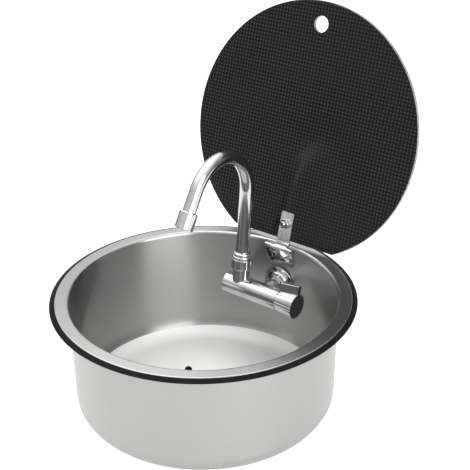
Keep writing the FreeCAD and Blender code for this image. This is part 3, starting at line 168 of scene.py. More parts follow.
# %% Rounded outlines
def arc_points(corner, before, after, radius, steps):
    """Points of the arc that touches both sides of a corner: its centre lies on the corner's
    bisector, radius / sin(half the corner's angle) away."""
    to_before = (before - corner) / np.linalg.norm(before - corner)
    to_after = (after - corner) / np.linalg.norm(after - corner)
    half = math.acos(np.clip(to_before @ to_after, -1, 1)) / 2
    bisector = (to_before + to_after) / np.linalg.norm(to_before + to_after)
    centre = corner + bisector * radius / math.sin(half)
    start = corner + to_before * radius / math.tan(half)
    end = corner + to_after * radius / math.tan(half)
    first, last = start - centre, end - centre
    sweep = math.pi - 2 * half
    share = np.linspace(0, 1, steps)[:, None]
    weights = np.sin((1 - share) * sweep) * first + np.sin(share * sweep) * last
    return centre + weights / math.sin(sweep)


def side_points(start, end, longest, edge=0.25):
    """Points inside a straight side: one near each end, and between them none further apart
    than `longest`."""
    length = np.linalg.norm(end - start)
    if length < edge * 4:
        return np.empty((0, 2))
    count = max(2, math.ceil((length - 2 * edge) / longest) + 1)
    share = np.linspace(edge / length, 1 - edge / length, count)[:, None]
    return start + (end - start) * share


def outline(corners, closed=True, longest=12.0, steps=7):
    """A drawn outline as points: corners are (radius, height) or (radius, height, rounding)."""
    flat = np.array([corner[:2] for corner in corners], float)
    rounding = [corner[2] if len(corner) > 2 else 0 for corner in corners]
    count = len(flat)
    pieces = []
    for i in range(count):
        ends = not closed and i in (0, count - 1)
        if rounding[i] and not ends:
            before, after = flat[i - 1], flat[(i + 1) % count]
            pieces.append(arc_points(flat[i], before, after, rounding[i], steps))
        else:
            pieces.append(flat[i:i + 1])
    points = []
    for i in range(count if closed else count - 1):
        points.append(pieces[i])
        points.append(side_points(pieces[i][-1], pieces[(i + 1) % count][0], longest))
    if not closed:
        points.append(pieces[-1])
    return np.concatenate(points)


def turned(name, corners, place, closed=True, around=128, longest=12.0, steps=7, crisp=32):
    """A body of revolution: each outline point (r, h) becomes the ring (r cos a, r sin a, h)."""
    drawn = outline(corners, closed, longest, steps)
    angle = np.linspace(0, 2 * math.pi, around, endpoint=False)
    radius, height = drawn[:, 0:1], drawn[:, 1:2]
    grid = np.stack((radius * np.cos(angle), radius * np.sin(angle),
                     np.repeat(height, around, axis=1)), axis=-1)
    quads = grid_faces(len(drawn), around, closed, True)
    return make_piece(name, grid.reshape(-1, 3), quads, place, crisp)


def copy_of(node, name, crisp=28):
    """A merged, smooth-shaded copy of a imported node, with big faces ruling the shading."""
    mesh = nodes[node].data.copy()
    mesh.materials.clear()
    for layer in list(mesh.attributes):
        if layer.name == "custom_normal":
            mesh.attributes.remove(layer)
    piece = bpy.data.objects.new(name, mesh)
    bpy.context.scene.collection.objects.link(piece)
    finish_mesh(mesh, crisp)
    weigh = piece.modifiers.new("faces rule the shading", "WEIGHTED_NORMAL")
    weigh.keep_sharp = True
    weigh.weight = 100
    return piece


def hand_over(piece, body, slot, *replaced):
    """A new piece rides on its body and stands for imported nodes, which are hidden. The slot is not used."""
    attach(piece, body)
    if replaced:
        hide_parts(*replaced)


# %% [markdown]
# Finishes are node materials. A few small helpers keep them readable: one adds a node with its
# settings, one links two sockets. What several finishes share is a node group, built once: a
# blotchy wear mask, fine brush lines, and a grid of printed dots.


# %% Node helpers
def add(tree, kind, settings=None, **values):
    """A node with its settings, and values for its input sockets by name."""
    node = tree.nodes.new(kind)
    for key, value in (settings or {}).items():
        setattr(node, key, value)
    for key, value in values.items():
        node.inputs[key.replace("_", " ")].default_value = value
    return node


def link(tree, start, end):
    """Join an output socket to an input socket."""
    tree.links.new(start, end)


def new_group(name, inputs, outputs):
    """An empty node group with named input and output sockets."""
    group = bpy.data.node_groups.new(name, "ShaderNodeTree")
    for label, kind, value in inputs:
        socket = group.interface.new_socket(label, in_out="INPUT", socket_type=kind)
        if value is not None:
            socket.default_value = value
    for label, kind in outputs:
        group.interface.new_socket(label, in_out="OUTPUT", socket_type=kind)
    return group, group.nodes.new("NodeGroupInput"), group.nodes.new("NodeGroupOutput")


def math_node(tree, operation, first, second=None, clamp=False):
    """One sum or comparison; an input is a socket or a number."""
    node = add(tree, "ShaderNodeMath", {"operation": operation, "use_clamp": clamp})
    for i, value in enumerate((first, second)):
        if value is None:
            continue
        if isinstance(value, (int, float)):
            node.inputs[i].default_value = value
        else:
            link(tree, value, node.inputs[i])
    return node.outputs[0]


# %% Shared effects
LINE_DRIFT = 0.012  # change of the brush lines along X, as a share of the change across them
DRIFT_Y = 1.7  # the same along Y, against X
DOT_PITCH = 0.0044


def make_blotches():
    """Soft uneven patches from 0 to 1: noise at one scale, stretched to full contrast."""
    group, start, end = new_group("blotches", [
        ("Vector", "NodeSocketVector", None),
        ("Scale", "NodeSocketFloat", 30.0),
        ("Low", "NodeSocketFloat", 0.0),
        ("High", "NodeSocketFloat", 1.0),
    ], [("Value", "NodeSocketFloat")])
    noise = add(group, "ShaderNodeTexNoise", Detail=4.0, Roughness=0.55)
    spread = add(group, "ShaderNodeMapRange", From_Min=0.32, From_Max=0.68)
    link(group, start.outputs["Vector"], noise.inputs["Vector"])
    link(group, start.outputs["Scale"], noise.inputs["Scale"])
    link(group, noise.outputs["Fac"], spread.inputs["Value"])
    link(group, start.outputs["Low"], spread.inputs["To Min"])
    link(group, start.outputs["High"], spread.inputs["To Max"])
    link(group, spread.outputs["Result"], end.inputs["Value"])
    return group


def make_brush_lines():
    """Fine lines round the Z axis: noise on (distance from the axis, height), nearly the same all
    the way round, because a brush or a polishing wheel runs round the turning bowl."""
    group, start, end = new_group("brush lines", [
        ("Vector", "NodeSocketVector", None),
        ("Scale", "NodeSocketFloat", 2500.0),
    ], [("Lines", "NodeSocketFloat"), ("Streaks", "NodeSocketFloat")])
    split = add(group, "ShaderNodeSeparateXYZ")
    link(group, start.outputs["Vector"], split.inputs[0])
    square_x = math_node(group, "MULTIPLY", split.outputs[0], split.outputs[0])
    square_y = math_node(group, "MULTIPLY", split.outputs[1], split.outputs[1])
    radius = math_node(group, "SQRT", math_node(group, "ADD", square_x, square_y))
    along_x = math_node(group, "MULTIPLY", split.outputs[0], LINE_DRIFT)
    along_y = math_node(group, "MULTIPLY", split.outputs[1], LINE_DRIFT)
    run = math_node(group, "ADD", along_x, math_node(group, "MULTIPLY", along_y, DRIFT_Y))
    joined = add(group, "ShaderNodeCombineXYZ")
    link(group, radius, joined.inputs[0])
    link(group, split.outputs[2], joined.inputs[1])
    link(group, run, joined.inputs[2])
    fine = add(group, "ShaderNodeTexNoise", Detail=3.0, Roughness=0.6)
    broad = add(group, "ShaderNodeTexNoise", Scale=90.0, Detail=2.0, Roughness=0.5)
    link(group, joined.outputs[0], fine.inputs["Vector"])
    link(group, start.outputs["Scale"], fine.inputs["Scale"])
    link(group, joined.outputs[0], broad.inputs["Vector"])
    link(group, fine.outputs["Fac"], end.inputs["Lines"])
    link(group, broad.outputs["Fac"], end.inputs["Streaks"])
    return group


def make_dot_grid():
    """Round dots on a square grid in the vector's X-Y plane: 1 inside a dot, 0 outside it."""
    group, start, end = new_group("dot grid", [
        ("Vector", "NodeSocketVector", None),
        ("Pitch", "NodeSocketFloat", DOT_PITCH),
        ("Radius share", "NodeSocketFloat", 0.28),
    ], [("Dots", "NodeSocketFloat")])
    split = add(group, "ShaderNodeSeparateXYZ")
    link(group, start.outputs["Vector"], split.inputs[0])
    squares = []
    for axis in (0, 1):
        cell = math_node(group, "DIVIDE", split.outputs[axis], start.outputs["Pitch"])
        middle = math_node(group, "SUBTRACT", math_node(group, "FLOORED_MODULO", cell, 1.0), 0.5)
        squares.append(math_node(group, "MULTIPLY", middle, middle))
    distance = math_node(group, "SQRT", math_node(group, "ADD", *squares))
    edge = add(group, "ShaderNodeMapRange", {"interpolation_type": "SMOOTHSTEP"},
               To_Min=1.0, To_Max=0.0)
    link(group, distance, edge.inputs["Value"])
    for bound, share in (("From Min", 0.7), ("From Max", 1.3)):
        radius = math_node(group, "MULTIPLY", start.outputs["Radius share"], share)
        link(group, radius, edge.inputs[bound])
    link(group, edge.outputs["Result"], end.inputs["Dots"])
    return group


BLOTCHES = make_blotches()
BRUSH_LINES = make_brush_lines()
DOT_GRID = make_dot_grid()
print("node groups:", [group.name for group in bpy.data.node_groups])


# %% Material helpers
def new_material(name, **values):
    """A material with a Principled shader, whose plain values are set on its own sockets."""
    material = bpy.data.materials.new(name)
    material.use_nodes = True
    tree = material.node_tree
    shader = tree.nodes["Principled BSDF"]
    for key, value in values.items():
        if isinstance(value, tuple):
            value = (*value, 1.0)
        shader.inputs[key.replace("_", " ")].default_value = value
    place = add(tree, "ShaderNodeTexCoord")
    return material, tree, shader, place.outputs["Object"]


def place_group(tree, group, vector, **values):
    """One use of a shared effect on a vector, with its own values."""
    node = tree.nodes.new("ShaderNodeGroup")
    node.node_tree = group
    link(tree, vector, node.inputs["Vector"])
    for key, value in values.items():
        node.inputs[key.replace("_", " ")].default_value = value
    return node


def blotchy(tree, vector, scale, low, high, target):
    """Drive a socket with soft patches between two values."""
    node = place_group(tree, BLOTCHES, vector, Scale=scale, Low=low, High=high)
    link(tree, node.outputs["Value"], target)
    return node


def bumped(tree, height, strength, distance, shader):
    """Feed a height through a bump into the shader's normal."""
    bump = add(tree, "ShaderNodeBump", Strength=strength, Distance=distance)
    link(tree, height, bump.inputs["Height"])
    link(tree, bump.outputs["Normal"], shader.inputs["Normal"])


def mixed_colour(tree, factor, first, second, target):
    """Blend two colours by a mask into a socket."""
    mix = add(tree, "ShaderNodeMix", {"data_type": "RGBA"})
    mix.inputs[6].default_value = (*first, 1.0)
    mix.inputs[7].default_value = (*second, 1.0)
    link(tree, factor, mix.inputs[0])
    link(tree, mix.outputs[2], target)


# %% [markdown]
# The bowl is pressed from bright sheet and brushed round while it turns. The brush leaves lines
# round the axis, which spread a reflection up and down the wall and keep it narrow sideways. That
# is an anisotropic gloss with its direction round Z. Inner wall, floor and outside are three
# finishes of this kind: the floor is the most matt, and the outside is duller than the inner wall.
# The floor's colour is also painted far paler than the walls', as painted light from above.
# The band on top of the rim is polished in all of them.


# %% Steel of the bowl
FOOT_LOW, FOOT_HIGH = -0.137, -0.104  # the floor's corner, in metres above the worktop
BAND_LOW, BAND_HIGH = 0.0005, 0.0032  # from the wall to the rim's band
BAND_ROUGH = 0.21


def make_bowl_steel(name, light, dark, floor_rough, wall_rough, smear):
    """Sheet brushed round the Z axis. The gloss is spread across the lines, so the direction along
    the lines is turned by a quarter. Roughness changes with height: from `floor_rough` to
    `wall_rough` at the floor's corner, and on to BAND_ROUGH at the rim's band."""
    material, tree, shader, vector = new_material(
        name, Base_Color=light, Metallic=1.0, Anisotropic=smear, Anisotropic_Rotation=0.25)
    lines = place_group(tree, BRUSH_LINES, vector, Scale=1100.0)
    split = add(tree, "ShaderNodeSeparateXYZ")
    link(tree, vector, split.inputs[0])
    level = add(tree, "ShaderNodeMapRange", {"interpolation_type": "SMOOTHSTEP"},
                From_Min=FOOT_LOW, From_Max=FOOT_HIGH, To_Min=floor_rough, To_Max=wall_rough)
    link(tree, split.outputs[2], level.inputs["Value"])
    band = add(tree, "ShaderNodeMapRange", {"interpolation_type": "SMOOTHSTEP"},
               From_Min=BAND_LOW, From_Max=BAND_HIGH, To_Min=0.0, To_Max=wall_rough - BAND_ROUGH)
    link(tree, split.outputs[2], band.inputs["Value"])
    base = math_node(tree, "SUBTRACT", level.outputs["Result"], band.outputs["Result"])
    streaks = math_node(tree, "SUBTRACT", lines.outputs["Streaks"], 0.5)
    wander = math_node(tree, "MULTIPLY", streaks, 0.08)
    link(tree, math_node(tree, "ADD", base, wander, clamp=True), shader.inputs["Roughness"])
    mixed_colour(tree, lines.outputs["Lines"], dark, light, shader.inputs["Base Color"])
    bumped(tree, lines.outputs["Lines"], 0.006, 0.0002, shader)
    tangent = add(tree, "ShaderNodeTangent", {"direction_type": "RADIAL", "axis": "Z"})
    link(tree, tangent.outputs[0], shader.inputs["Tangent"])
    return material


STEEL = make_bowl_steel(
    "brushed steel wall", (0.38, 0.38, 0.375), (0.355, 0.355, 0.35), 0.32, 0.32, 0.94)
# The floor's copy is matt, and its colour is painted far paler than the walls': painted light from above
MATT_FLOOR_PAINTED_LIGHTER = make_bowl_steel(
    "matt steel floor painted lighter", (0.90, 0.90, 0.895), (0.84, 0.84, 0.835), 0.70, 0.70, 0.15)
SATIN = make_bowl_steel(
    "satin steel outside", (0.38, 0.38, 0.375), (0.345, 0.345, 0.34), 0.44, 0.38, 0.3)


# %% [markdown]
# The tap is plated and polished like a mirror. Real plating is never quite even: faint water
# marks and wiping change the gloss in soft patches, and a very low swell bends the reflections.
# Both are noise, kept so weak that the streaks of light stay sharp.


# %% Chrome and plain metals
def make_metal(name, colour, low, high, scale=55.0, swell=0.0, grain=0.0):
    """A metal with patchy gloss between two roughness values, a low swell and a fine grain."""
    material, tree, shader, vector = new_material(name, Base_Color=colour, Metallic=1.0)
    patches = blotchy(tree, vector, scale, low, high, shader.inputs["Roughness"])
    dull = tuple(channel * 0.9 for channel in colour)
    spread = add(tree, "ShaderNodeMapRange", From_Min=low, From_Max=high)
    link(tree, patches.outputs["Value"], spread.inputs["Value"])
    mixed_colour(tree, spread.outputs["Result"], colour, dull, shader.inputs["Base Color"])
    if swell:
        noise = add(tree, "ShaderNodeTexNoise", Scale=38.0, Detail=1.0)
        link(tree, vector, noise.inputs["Vector"])
        bumped(tree, noise.outputs["Fac"], swell, 0.001, shader)
    if grain:
        noise = add(tree, "ShaderNodeTexNoise", Scale=900.0, Detail=2.0)
        link(tree, vector, noise.inputs["Vector"])
        bumped(tree, noise.outputs["Fac"], grain, 0.0003, shader)
    return material


CHROME = make_metal("polished chrome", (0.57, 0.57, 0.575), 0.03, 0.045, swell=0.002)
TUBE = make_metal("polished tube", (0.55, 0.55, 0.555), 0.11, 0.13)
FIXINGS = make_metal("stainless fixings", (0.78, 0.78, 0.775), 0.20, 0.24, scale=60.0, grain=0.01)
BRASS = make_metal("machined brass", (0.62, 0.47, 0.22), 0.22, 0.36, scale=160.0, grain=0.1)


# %% [markdown]
# Rubber and moulded plastic hardly shine, but they aren't flat either: rubber has a fine pebble
# and pale dust in soft patches, and a moulding has the grain of its tool. Only the plate on the
# knob's end is glossy.


# %% Rubber and plastics
def make_soft(name, colour, dusty, low, high, pebble, pebble_scale, shine=0.4):
    """Rubber or plastic: dust in patches over the colour, roughness from `low` to `high` with the
    same patches, and a fine pebble as bump."""
    material, tree, shader, vector = new_material(name, Base_Color=colour, Specular_IOR_Level=shine)
    patches = place_group(tree, BLOTCHES, vector, Scale=60.0, Low=0.0, High=1.0)
    rough = add(tree, "ShaderNodeMapRange", To_Min=low, To_Max=high)
    link(tree, patches.outputs["Value"], rough.inputs["Value"])
    link(tree, rough.outputs["Result"], shader.inputs["Roughness"])
    mixed_colour(tree, patches.outputs["Value"], colour, dusty, shader.inputs["Base Color"])
    noise = add(tree, "ShaderNodeTexNoise", Scale=pebble_scale, Detail=3.0, Roughness=0.6)
    link(tree, vector, noise.inputs["Vector"])
    bumped(tree, noise.outputs["Fac"], pebble, 0.0002, shader)
    return material


RUBBER = make_soft(
    "black rubber", (0.004, 0.004, 0.0043), (0.009, 0.009, 0.0093), 0.45, 0.62, 0.2, 1400.0, 0.06)
BLACK_PLASTIC = make_soft(
    "black moulding", (0.014, 0.014, 0.015), (0.030, 0.030, 0.031), 0.40, 0.56, 0.25, 2200.0)
WHITE_PLASTIC = make_soft(
    "pale moulding", (0.62, 0.62, 0.60), (0.70, 0.70, 0.68), 0.35, 0.5, 0.15, 1800.0)
DARK_PLATE = make_soft(
    "dark gloss plate", (0.008, 0.008, 0.009), (0.014, 0.014, 0.015), 0.07, 0.14, 0.03, 900.0)


# %% [markdown]
# The lid is tempered glass. Its underside, which faces the camera while it stands open, carries a
# black print with a fine grid of slightly paler dots, so the print is a mask over two blacks and
# the dots are a little rougher. Its top is plain black gloss, and its ground edge lets the glass
# show as a pale line.


# %% Glass of the lid
def make_print():
    """Black print with paler, rougher dots; the grid is turned to lie in the open pane's plane."""
    material, tree, shader, vector = new_material("printed underside", Specular_IOR_Level=0.30)
    turn = add(tree, "ShaderNodeMapping", {"vector_type": "POINT"},
               Rotation=(math.radians(LID_OPEN), 0, 0))
    link(tree, vector, turn.inputs["Vector"])
    dots = place_group(tree, DOT_GRID, turn.outputs[0], Pitch=DOT_PITCH, Radius_share=0.27)
    mixed_colour(tree, dots.outputs["Dots"], (0.009, 0.009, 0.0094), (0.020, 0.020, 0.021),
                 shader.inputs["Base Color"])
    rough = add(tree, "ShaderNodeMapRange", To_Min=0.16, To_Max=0.40)
    link(tree, dots.outputs["Dots"], rough.inputs["Value"])
    patches = place_group(tree, BLOTCHES, vector, Scale=14.0, Low=-0.02, High=0.03)
    link(tree, math_node(tree, "ADD", rough.outputs["Result"], patches.outputs["Value"]),
         shader.inputs["Roughness"])
    bumped(tree, dots.outputs["Dots"], 0.12, 0.0001, shader)
    return material


def make_gloss_top():
    """Plain black gloss in faint patches."""
    material, tree, shader, vector = new_material(
        "black glass top", Base_Color=(0.006, 0.006, 0.0065))
    blotchy(tree, vector, 18.0, 0.025, 0.055, shader.inputs["Roughness"])
    return material


def make_ground_edge():
    """Ground glass, paler where it is rougher."""
    low, high = 0.16, 0.30
    material, tree, shader, vector = new_material(
        "ground glass edge", Base_Color=(0.20, 0.21, 0.205))
    patches = blotchy(tree, vector, 220.0, low, high, shader.inputs["Roughness"])
    spread = add(tree, "ShaderNodeMapRange", From_Min=low, From_Max=high)
    link(tree, patches.outputs["Value"], spread.inputs["Value"])
    mixed_colour(tree, spread.outputs["Result"], (0.17, 0.18, 0.175), (0.26, 0.27, 0.265),
                 shader.inputs["Base Color"])
    return material


PRINT = make_print()
GLOSS_TOP = make_gloss_top()
GROUND_EDGE = make_ground_edge()
print("materials:", len(bpy.data.materials))

# %% [markdown]
# The bowl is one sheet, so its surface is one closed strip of rings. Round the drain the rings are
# centred on the drain, and out at the corner on the bowl's own axis. In between the centre slides
# with the radius, so rings stay inside each other and the floor needs no seam.

# %% Bowl
RIM_TOP = 4.0
FLOOR_UNDER = -140.5
FLOOR_TOP = -139.5
DRAFT = 0.016
BOWL_SIDES = 288
FLOOR_R = 127.0
RECESS_R = 27.0
WALL_FOOT = -100
BAND_UNDER = 2.95
BAND_R = 168.5


def wall(radius, height):
    """Radius of the tapering wall at a height, from its radius at the rim."""
    return radius - DRAFT * (RIM_TOP - height)


def bowl_rings(drawn):
    """Rings of the sheet: below the corner the centre moves from the bowl's axis to the drain, in
    step with how far the radius has shrunk from the floor's edge to the drain recess."""
    radius, height = drawn[:, 0:1], drawn[:, 1:2]
    share = np.clip((FLOOR_R - radius) / (FLOOR_R - RECESS_R), 0, 1)
    share = share * share * (3 - 2 * share) * (height < WALL_FOOT)
    angle = np.linspace(0, 2 * math.pi, BOWL_SIDES, endpoint=False)
    x = share * DRAIN[0] + radius * np.cos(angle)
    y = share * DRAIN[1] + radius * np.sin(angle)
    return np.stack((x, y, np.repeat(height, BOWL_SIDES, axis=1)), axis=-1)


def mark_sides(piece):
    """Material 1 on faces below the rim's band that look away from the bowl's axis or down, and
    material 2, whose paler colour is painted light from above, on faces near the floor that look up."""
    mesh = piece.data
    vectors = {}
    for label in ("normal", "center"):
        values = np.empty(len(mesh.polygons) * 3, np.float32)
        mesh.polygons.foreach_get(label, values)
        vectors[label] = values.reshape(-1, 3)
    normal, centre = vectors["normal"], vectors["center"]
    outwards = (normal[:, :2] * centre[:, :2]).sum(axis=1) > 0
    outside = (outwards | (normal[:, 2] < -0.5)) & (centre[:, 2] < BAND_UNDER * MM)
    outside &= np.hypot(centre[:, 0], centre[:, 1]) < BAND_R * MM
    # Upward faces of the floor get the copy whose paler colour is painted light from above
    level = (normal[:, 2] > 0.6) & (centre[:, 2] < WALL_FOOT * MM)
    mesh.polygons.foreach_set("material_index", np.where(level, 2, outside).astype(np.int32))


bowl_outline = outline([
    (13.0, -141.5),
    (24.0, -141.5, 0.9),
    (24.0, FLOOR_TOP, 0.9),
    (wall(153, FLOOR_TOP), FLOOR_TOP, 24),
    (153.0, RIM_TOP, 4.0),
    (170.0, RIM_TOP, 1.6),
    (170.0, 1.0),
    (169.0, 1.0),
    (169.0, 3.0, 0.5),
    (154.0, 3.0, 3.0),
    (wall(154, FLOOR_UNDER), FLOOR_UNDER, 25),
    (25.0, FLOOR_UNDER, 1.2),
    (25.0, -142.5, 0.9),
    (13.0, -142.5),
], longest=5.0, steps=14)
bowl_grid = bowl_rings(bowl_outline)
bowl_quads = grid_faces(len(bowl_outline), BOWL_SIDES, True, True)
bowl = make_piece("bowl_shell", bowl_grid.reshape(-1, 3), bowl_quads, AT_ORIGIN, crisp=40)
bowl.data.materials.append(STEEL)
bowl.data.materials.append(SATIN)
bowl.data.materials.append(MATT_FLOOR_PAINTED_LIGHTER)
mark_sides(bowl)
hand_over(bowl, "basin", "steel", "sink_bowl")
print("bowl:", len(bowl.data.polygons), "faces")

# %% [markdown]
# The black ring seals the rim to the worktop. It stands a few millimetres beyond the rim's edge
# and slopes down to a thin outer edge, so it shows as a band at the front and a line at the back.

# %% Rubber ring
gasket = turned("gasket_ring", [
    (157.8, 0.0, 0.3),
    (175.5, 0.0, 0.4),
    (175.5, 1.3, 0.9),
    (170.2, 3.9, 0.2),
    (170.2, 0.8),
    (168.8, 0.8),
    (168.8, 2.4),
    (168.2, 3.0),
    (157.8, 3.0, 0.3),
], AT_ORIGIN, around=288)
gasket.data.materials.append(RUBBER)
hand_over(gasket, "basin", "rubber", "rim_gasket")


# %% Lid pane
def face_materials(piece, direction, low_limit, high_limit):
    """Material 0 where faces look along a direction, 1 where they look against it, 2 between."""
    mesh = piece.data
    normals = np.empty(len(mesh.polygons) * 3, np.float32)
    mesh.polygons.foreach_get("normal", normals)
    facing = normals.reshape(-1, 3) @ np.array(direction, np.float32)
    index = np.where(facing > high_limit, 0, np.where(facing < low_limit, 1, 2)).astype(np.int32)
    mesh.polygons.foreach_set("material_index", index)
    return index


pane = copy_of("lid_glass", "lid_pane", crisp=50)
for material in (GLOSS_TOP, PRINT, GROUND_EDGE):
    pane.data.materials.append(material)
lid_up = AT_LID.to_3x3() @ Vector((0, 0, 1))
pane_index = face_materials(pane, lid_up, low_limit=-0.9, high_limit=0.9)
hand_over(pane, "lid", "glass", "lid_glass")
print("pane faces: top, print, edge", np.bincount(pane_index, minlength=3))

# %% [markdown]
# The spout is one bent pipe: a straight riser, an arc and a short straight tail. Its surface is a
# ring carried along that path. The path lies in one plane, so the ring's two directions are the
# part's X axis and the path's own normal in that plane, and the pipe can't twist.

# %% Spout pipe
RISER_H = 127.4
ARCH_R = 52.6
TAIL_L = 28.5
TUBE_FOOT = 38.8
TUBE_R = 8.3
TUBE_WALL = 1.0
PIPE_SIDES = 96
RISER_STEPS, ARC_STEPS, TAIL_STEPS = 14, 110, 8
JOIN_GAP = 0.5  # from the arc's end to the next ring of a straight part


def spout_path():
    """Points and directions along riser, arc and tail: the arc's point at an angle a is
    (r cos a - r, height + r sin a), and its direction is a quarter turn on."""
    arch = math.radians(ARCH_ANGLE)
    turn = np.linspace(0, arch, ARC_STEPS)
    arc = np.stack((ARCH_R * np.cos(turn) - ARCH_R, RISER_H + ARCH_R * np.sin(turn)), axis=-1)
    rise = np.linspace(TUBE_FOOT, RISER_H - JOIN_GAP, RISER_STEPS)
    foot = np.stack((np.zeros_like(rise), rise), axis=-1)
    ahead = np.array((-math.sin(arch), math.cos(arch)))
    tail = arc[-1] + np.linspace(JOIN_GAP, TAIL_L, TAIL_STEPS)[:, None] * ahead
    points = np.concatenate((foot, arc, tail))
    angles = np.concatenate((np.zeros(len(rise)), turn, np.full(len(tail), arch)))
    return points, angles


def pipe_grid(radius):
    """Ring of a radius round each path point: x = r cos b, and r sin b along the path's normal."""
    points, angles = spout_path()
    around = np.linspace(0, 2 * math.pi, PIPE_SIDES, endpoint=False)
    across, out = np.cos(around) * radius, np.sin(around) * radius
    x = np.repeat(across[None, :], len(points), axis=0)
    y = points[:, 0:1] + np.cos(angles)[:, None] * out
    z = points[:, 1:2] + np.sin(angles)[:, None] * out
    return np.stack((x, y, z), axis=-1)


outer, inner = pipe_grid(TUBE_R), pipe_grid(TUBE_R - TUBE_WALL)
pipe_rings = np.concatenate((outer, inner[::-1]))
pipe = make_piece("spout_pipe", pipe_rings.reshape(-1, 3),
                  grid_faces(len(pipe_rings), PIPE_SIDES, True, True), AT_HEAD, crisp=40)
pipe.data.materials.append(TUBE)
hand_over(pipe, "spout", "chrome", "spout_tube")

# %% [markdown]
# Collar, ferrule, aerator and flange are turned pieces, each with its own small roundings. Two
# round beads sit between the collar and the riser. A sharp corner on plated brass is always
# slightly broken, and that small round is what catches the light.

# %% Collar, ferrule and beads
collar = turned("collar", [
    (10.7, 25.7),
    (13.0, 25.7, 0.9),
    (13.0, 38.7, 0.9),
    (8.6, 38.7, 0.2),
    (8.6, 36.7),
    (10.7, 36.7),
], AT_HEAD)
collar.data.materials.append(CHROME)
hand_over(collar, "tap_head", "chrome", "collar_nut")


def bead(centre_r, height, radius=1.95, steps=15):
    """Outline of a half-round bead: points of a circle from its lower to its upper side."""
    turn = np.linspace(-math.pi / 2, math.pi / 2, steps)
    return [(centre_r + radius * math.cos(a), height + radius * math.sin(a)) for a in turn]


ferrule = turned("ferrule", [
    (8.35, 38.8),
    (9.7, 38.8),
    *bead(10.55, 40.85),
    *bead(9.65, 44.75),
    (9.2, 47.0, 0.3),
    (8.35, 47.0),
], AT_HEAD, steps=5)
ferrule.data.materials.append(CHROME)
hand_over(ferrule, "spout", "chrome", "spout_ferrule")

# %% Aerator
arch = math.radians(ARCH_ANGLE)
outlet_y = ARCH_R * math.cos(arch) - ARCH_R - TAIL_L * math.sin(arch)
outlet_z = RISER_H + ARCH_R * math.sin(arch) + TAIL_L * math.cos(arch)
AT_OUTLET = AT_HEAD @ placed(0, outlet_y, outlet_z, "X", ARCH_ANGLE)
housing = turned("aerator_shell", [
    (8.35, -4.0),
    (11.4, -4.0, 1.2),
    (11.4, 16.0, 0.6),
    (10.0, 16.0, 0.3),
    (10.0, 2.0),
    (7.3, 2.0),
    (7.3, 0.1),
    (8.35, 0.1),
], AT_OUTLET, around=96)
housing.data.materials.append(CHROME)
hand_over(housing, "spout", "chrome", "aerator_housing")

# %% Flange on the bowl's wall
flange_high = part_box("tap_flange")[1] / MM
AT_NECK = placed(0, flange_high.y, NECK_Z, "X", 90)
flange = turned("wall_flange", [
    (10.5, 0.0),
    (21.0, 0.0),
    (21.0, 1.4, 0.6),
    (14.0, 2.8, 5.0),
    (12.6, 9.5, 0.6),
    (10.5, 9.5),
], AT_NECK, steps=12)
flange.data.materials.append(CHROME)
hand_over(flange, "basin", "chrome", "tap_flange")

# %% [markdown]
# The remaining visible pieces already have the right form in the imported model. They are copied,
# their loose triangles are merged and their big faces rule the shading, so flats stay flat and
# rounds stay round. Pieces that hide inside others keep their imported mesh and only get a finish.

# %% Copies and finishes
COPIES = {
    "tap_body": ("basin", "chrome", CHROME),
    "swivel_head": ("tap_head", "chrome", CHROME),
    "head_end_cap": ("tap_head", "chrome", CHROME),
    "tap_knob": ("knob", "chrome", CHROME),
    "knob_cap": ("knob", "dark_plate", DARK_PLATE),
    "hinge_bracket": ("basin", "chrome", CHROME),
    "hinge_pin": ("basin", "fixings", CHROME),
    "lid_strap": ("lid", "fixings", FIXINGS),
    "lid_nut": ("lid", "chrome", CHROME),
    "lid_bolt": ("lid", "chrome", CHROME),
    "lid_nut_washer": ("lid", "fixings", FIXINGS),
    "hinge_screws": ("basin", "fixings", CHROME),
    "drain_plug": ("plug", "rubber", RUBBER),
    "waste_flange": ("basin", "chrome", CHROME),
    "waste_tail": ("basin", "black_plastic", BLACK_PLASTIC),
    "waste_nut": ("basin", "black_plastic", BLACK_PLASTIC),
    "tap_back_nut": ("basin", "brass", BRASS),
    "aerator_insert": ("spout", "white_plastic", WHITE_PLASTIC),
}
for node, (body, slot, material) in COPIES.items():
    piece = copy_of(node, node + "_smooth")
    piece.data.materials.append(material)
    hand_over(piece, body, slot, node)

SLOT_FINISH = {
    "steel": STEEL,
    "glass": GLOSS_TOP,
    "rubber": RUBBER,
    "chrome": CHROME,
    "fixings": FIXINGS,
    "brass": BRASS,
    "black_plastic": BLACK_PLASTIC,
    "dark_plate": DARK_PLATE,
    "white_plastic": WHITE_PLASTIC,
}
kept = [row for row in record["subparts"] if not nodes[row["node"]].hide_render]
for row in kept:
    mesh = nodes[row["node"]].data
    mesh.materials.clear()
    mesh.materials.append(SLOT_FINISH[row["material_slot"]])
print("copies:", len(COPIES), "kept nodes:", len(kept))

# %% [markdown]
# The picture is taken from the front right with a long lens that looks down by 27.5 degrees. The
# light is a white room with a pale floor: it is dim near the horizon and brighter with height. Two
# dimmed areas stand for the studio's dark sides and three brighter ones for its lamps, and one soft
# box hangs above on the left.

# %% Camera
CAMERA_AT = (0.7404, -0.9092, 0.6899)
CAMERA_FORWARD = (-0.5383, 0.7046, -0.4623)
CAMERA_RIGHT = (0.7970, 0.6040, -0.0075)
camera = bpy.data.objects.new("camera", bpy.data.cameras.new("camera"))
bpy.context.scene.collection.objects.link(camera)
forward = Vector(CAMERA_FORWARD).normalized()
right = Vector(CAMERA_RIGHT).normalized()
up = right.cross(forward).normalized()
right = forward.cross(up).normalized()
camera.matrix_world = Matrix((right, up, -forward)).transposed().to_4x4()
camera.location = CAMERA_AT
camera.data.lens = 90.96
camera.data.sensor_width = 36.0
camera.data.clip_start = 0.05
camera.data.clip_end = 50.0
bpy.context.scene.camera = camera


# %% Floor and light
STUDIO_R = 25  # radius of the round floor, in metres
STUDIO_SIDES = 64
STUDIO_GAP = 0.002  # from the lowest piece down to the floor


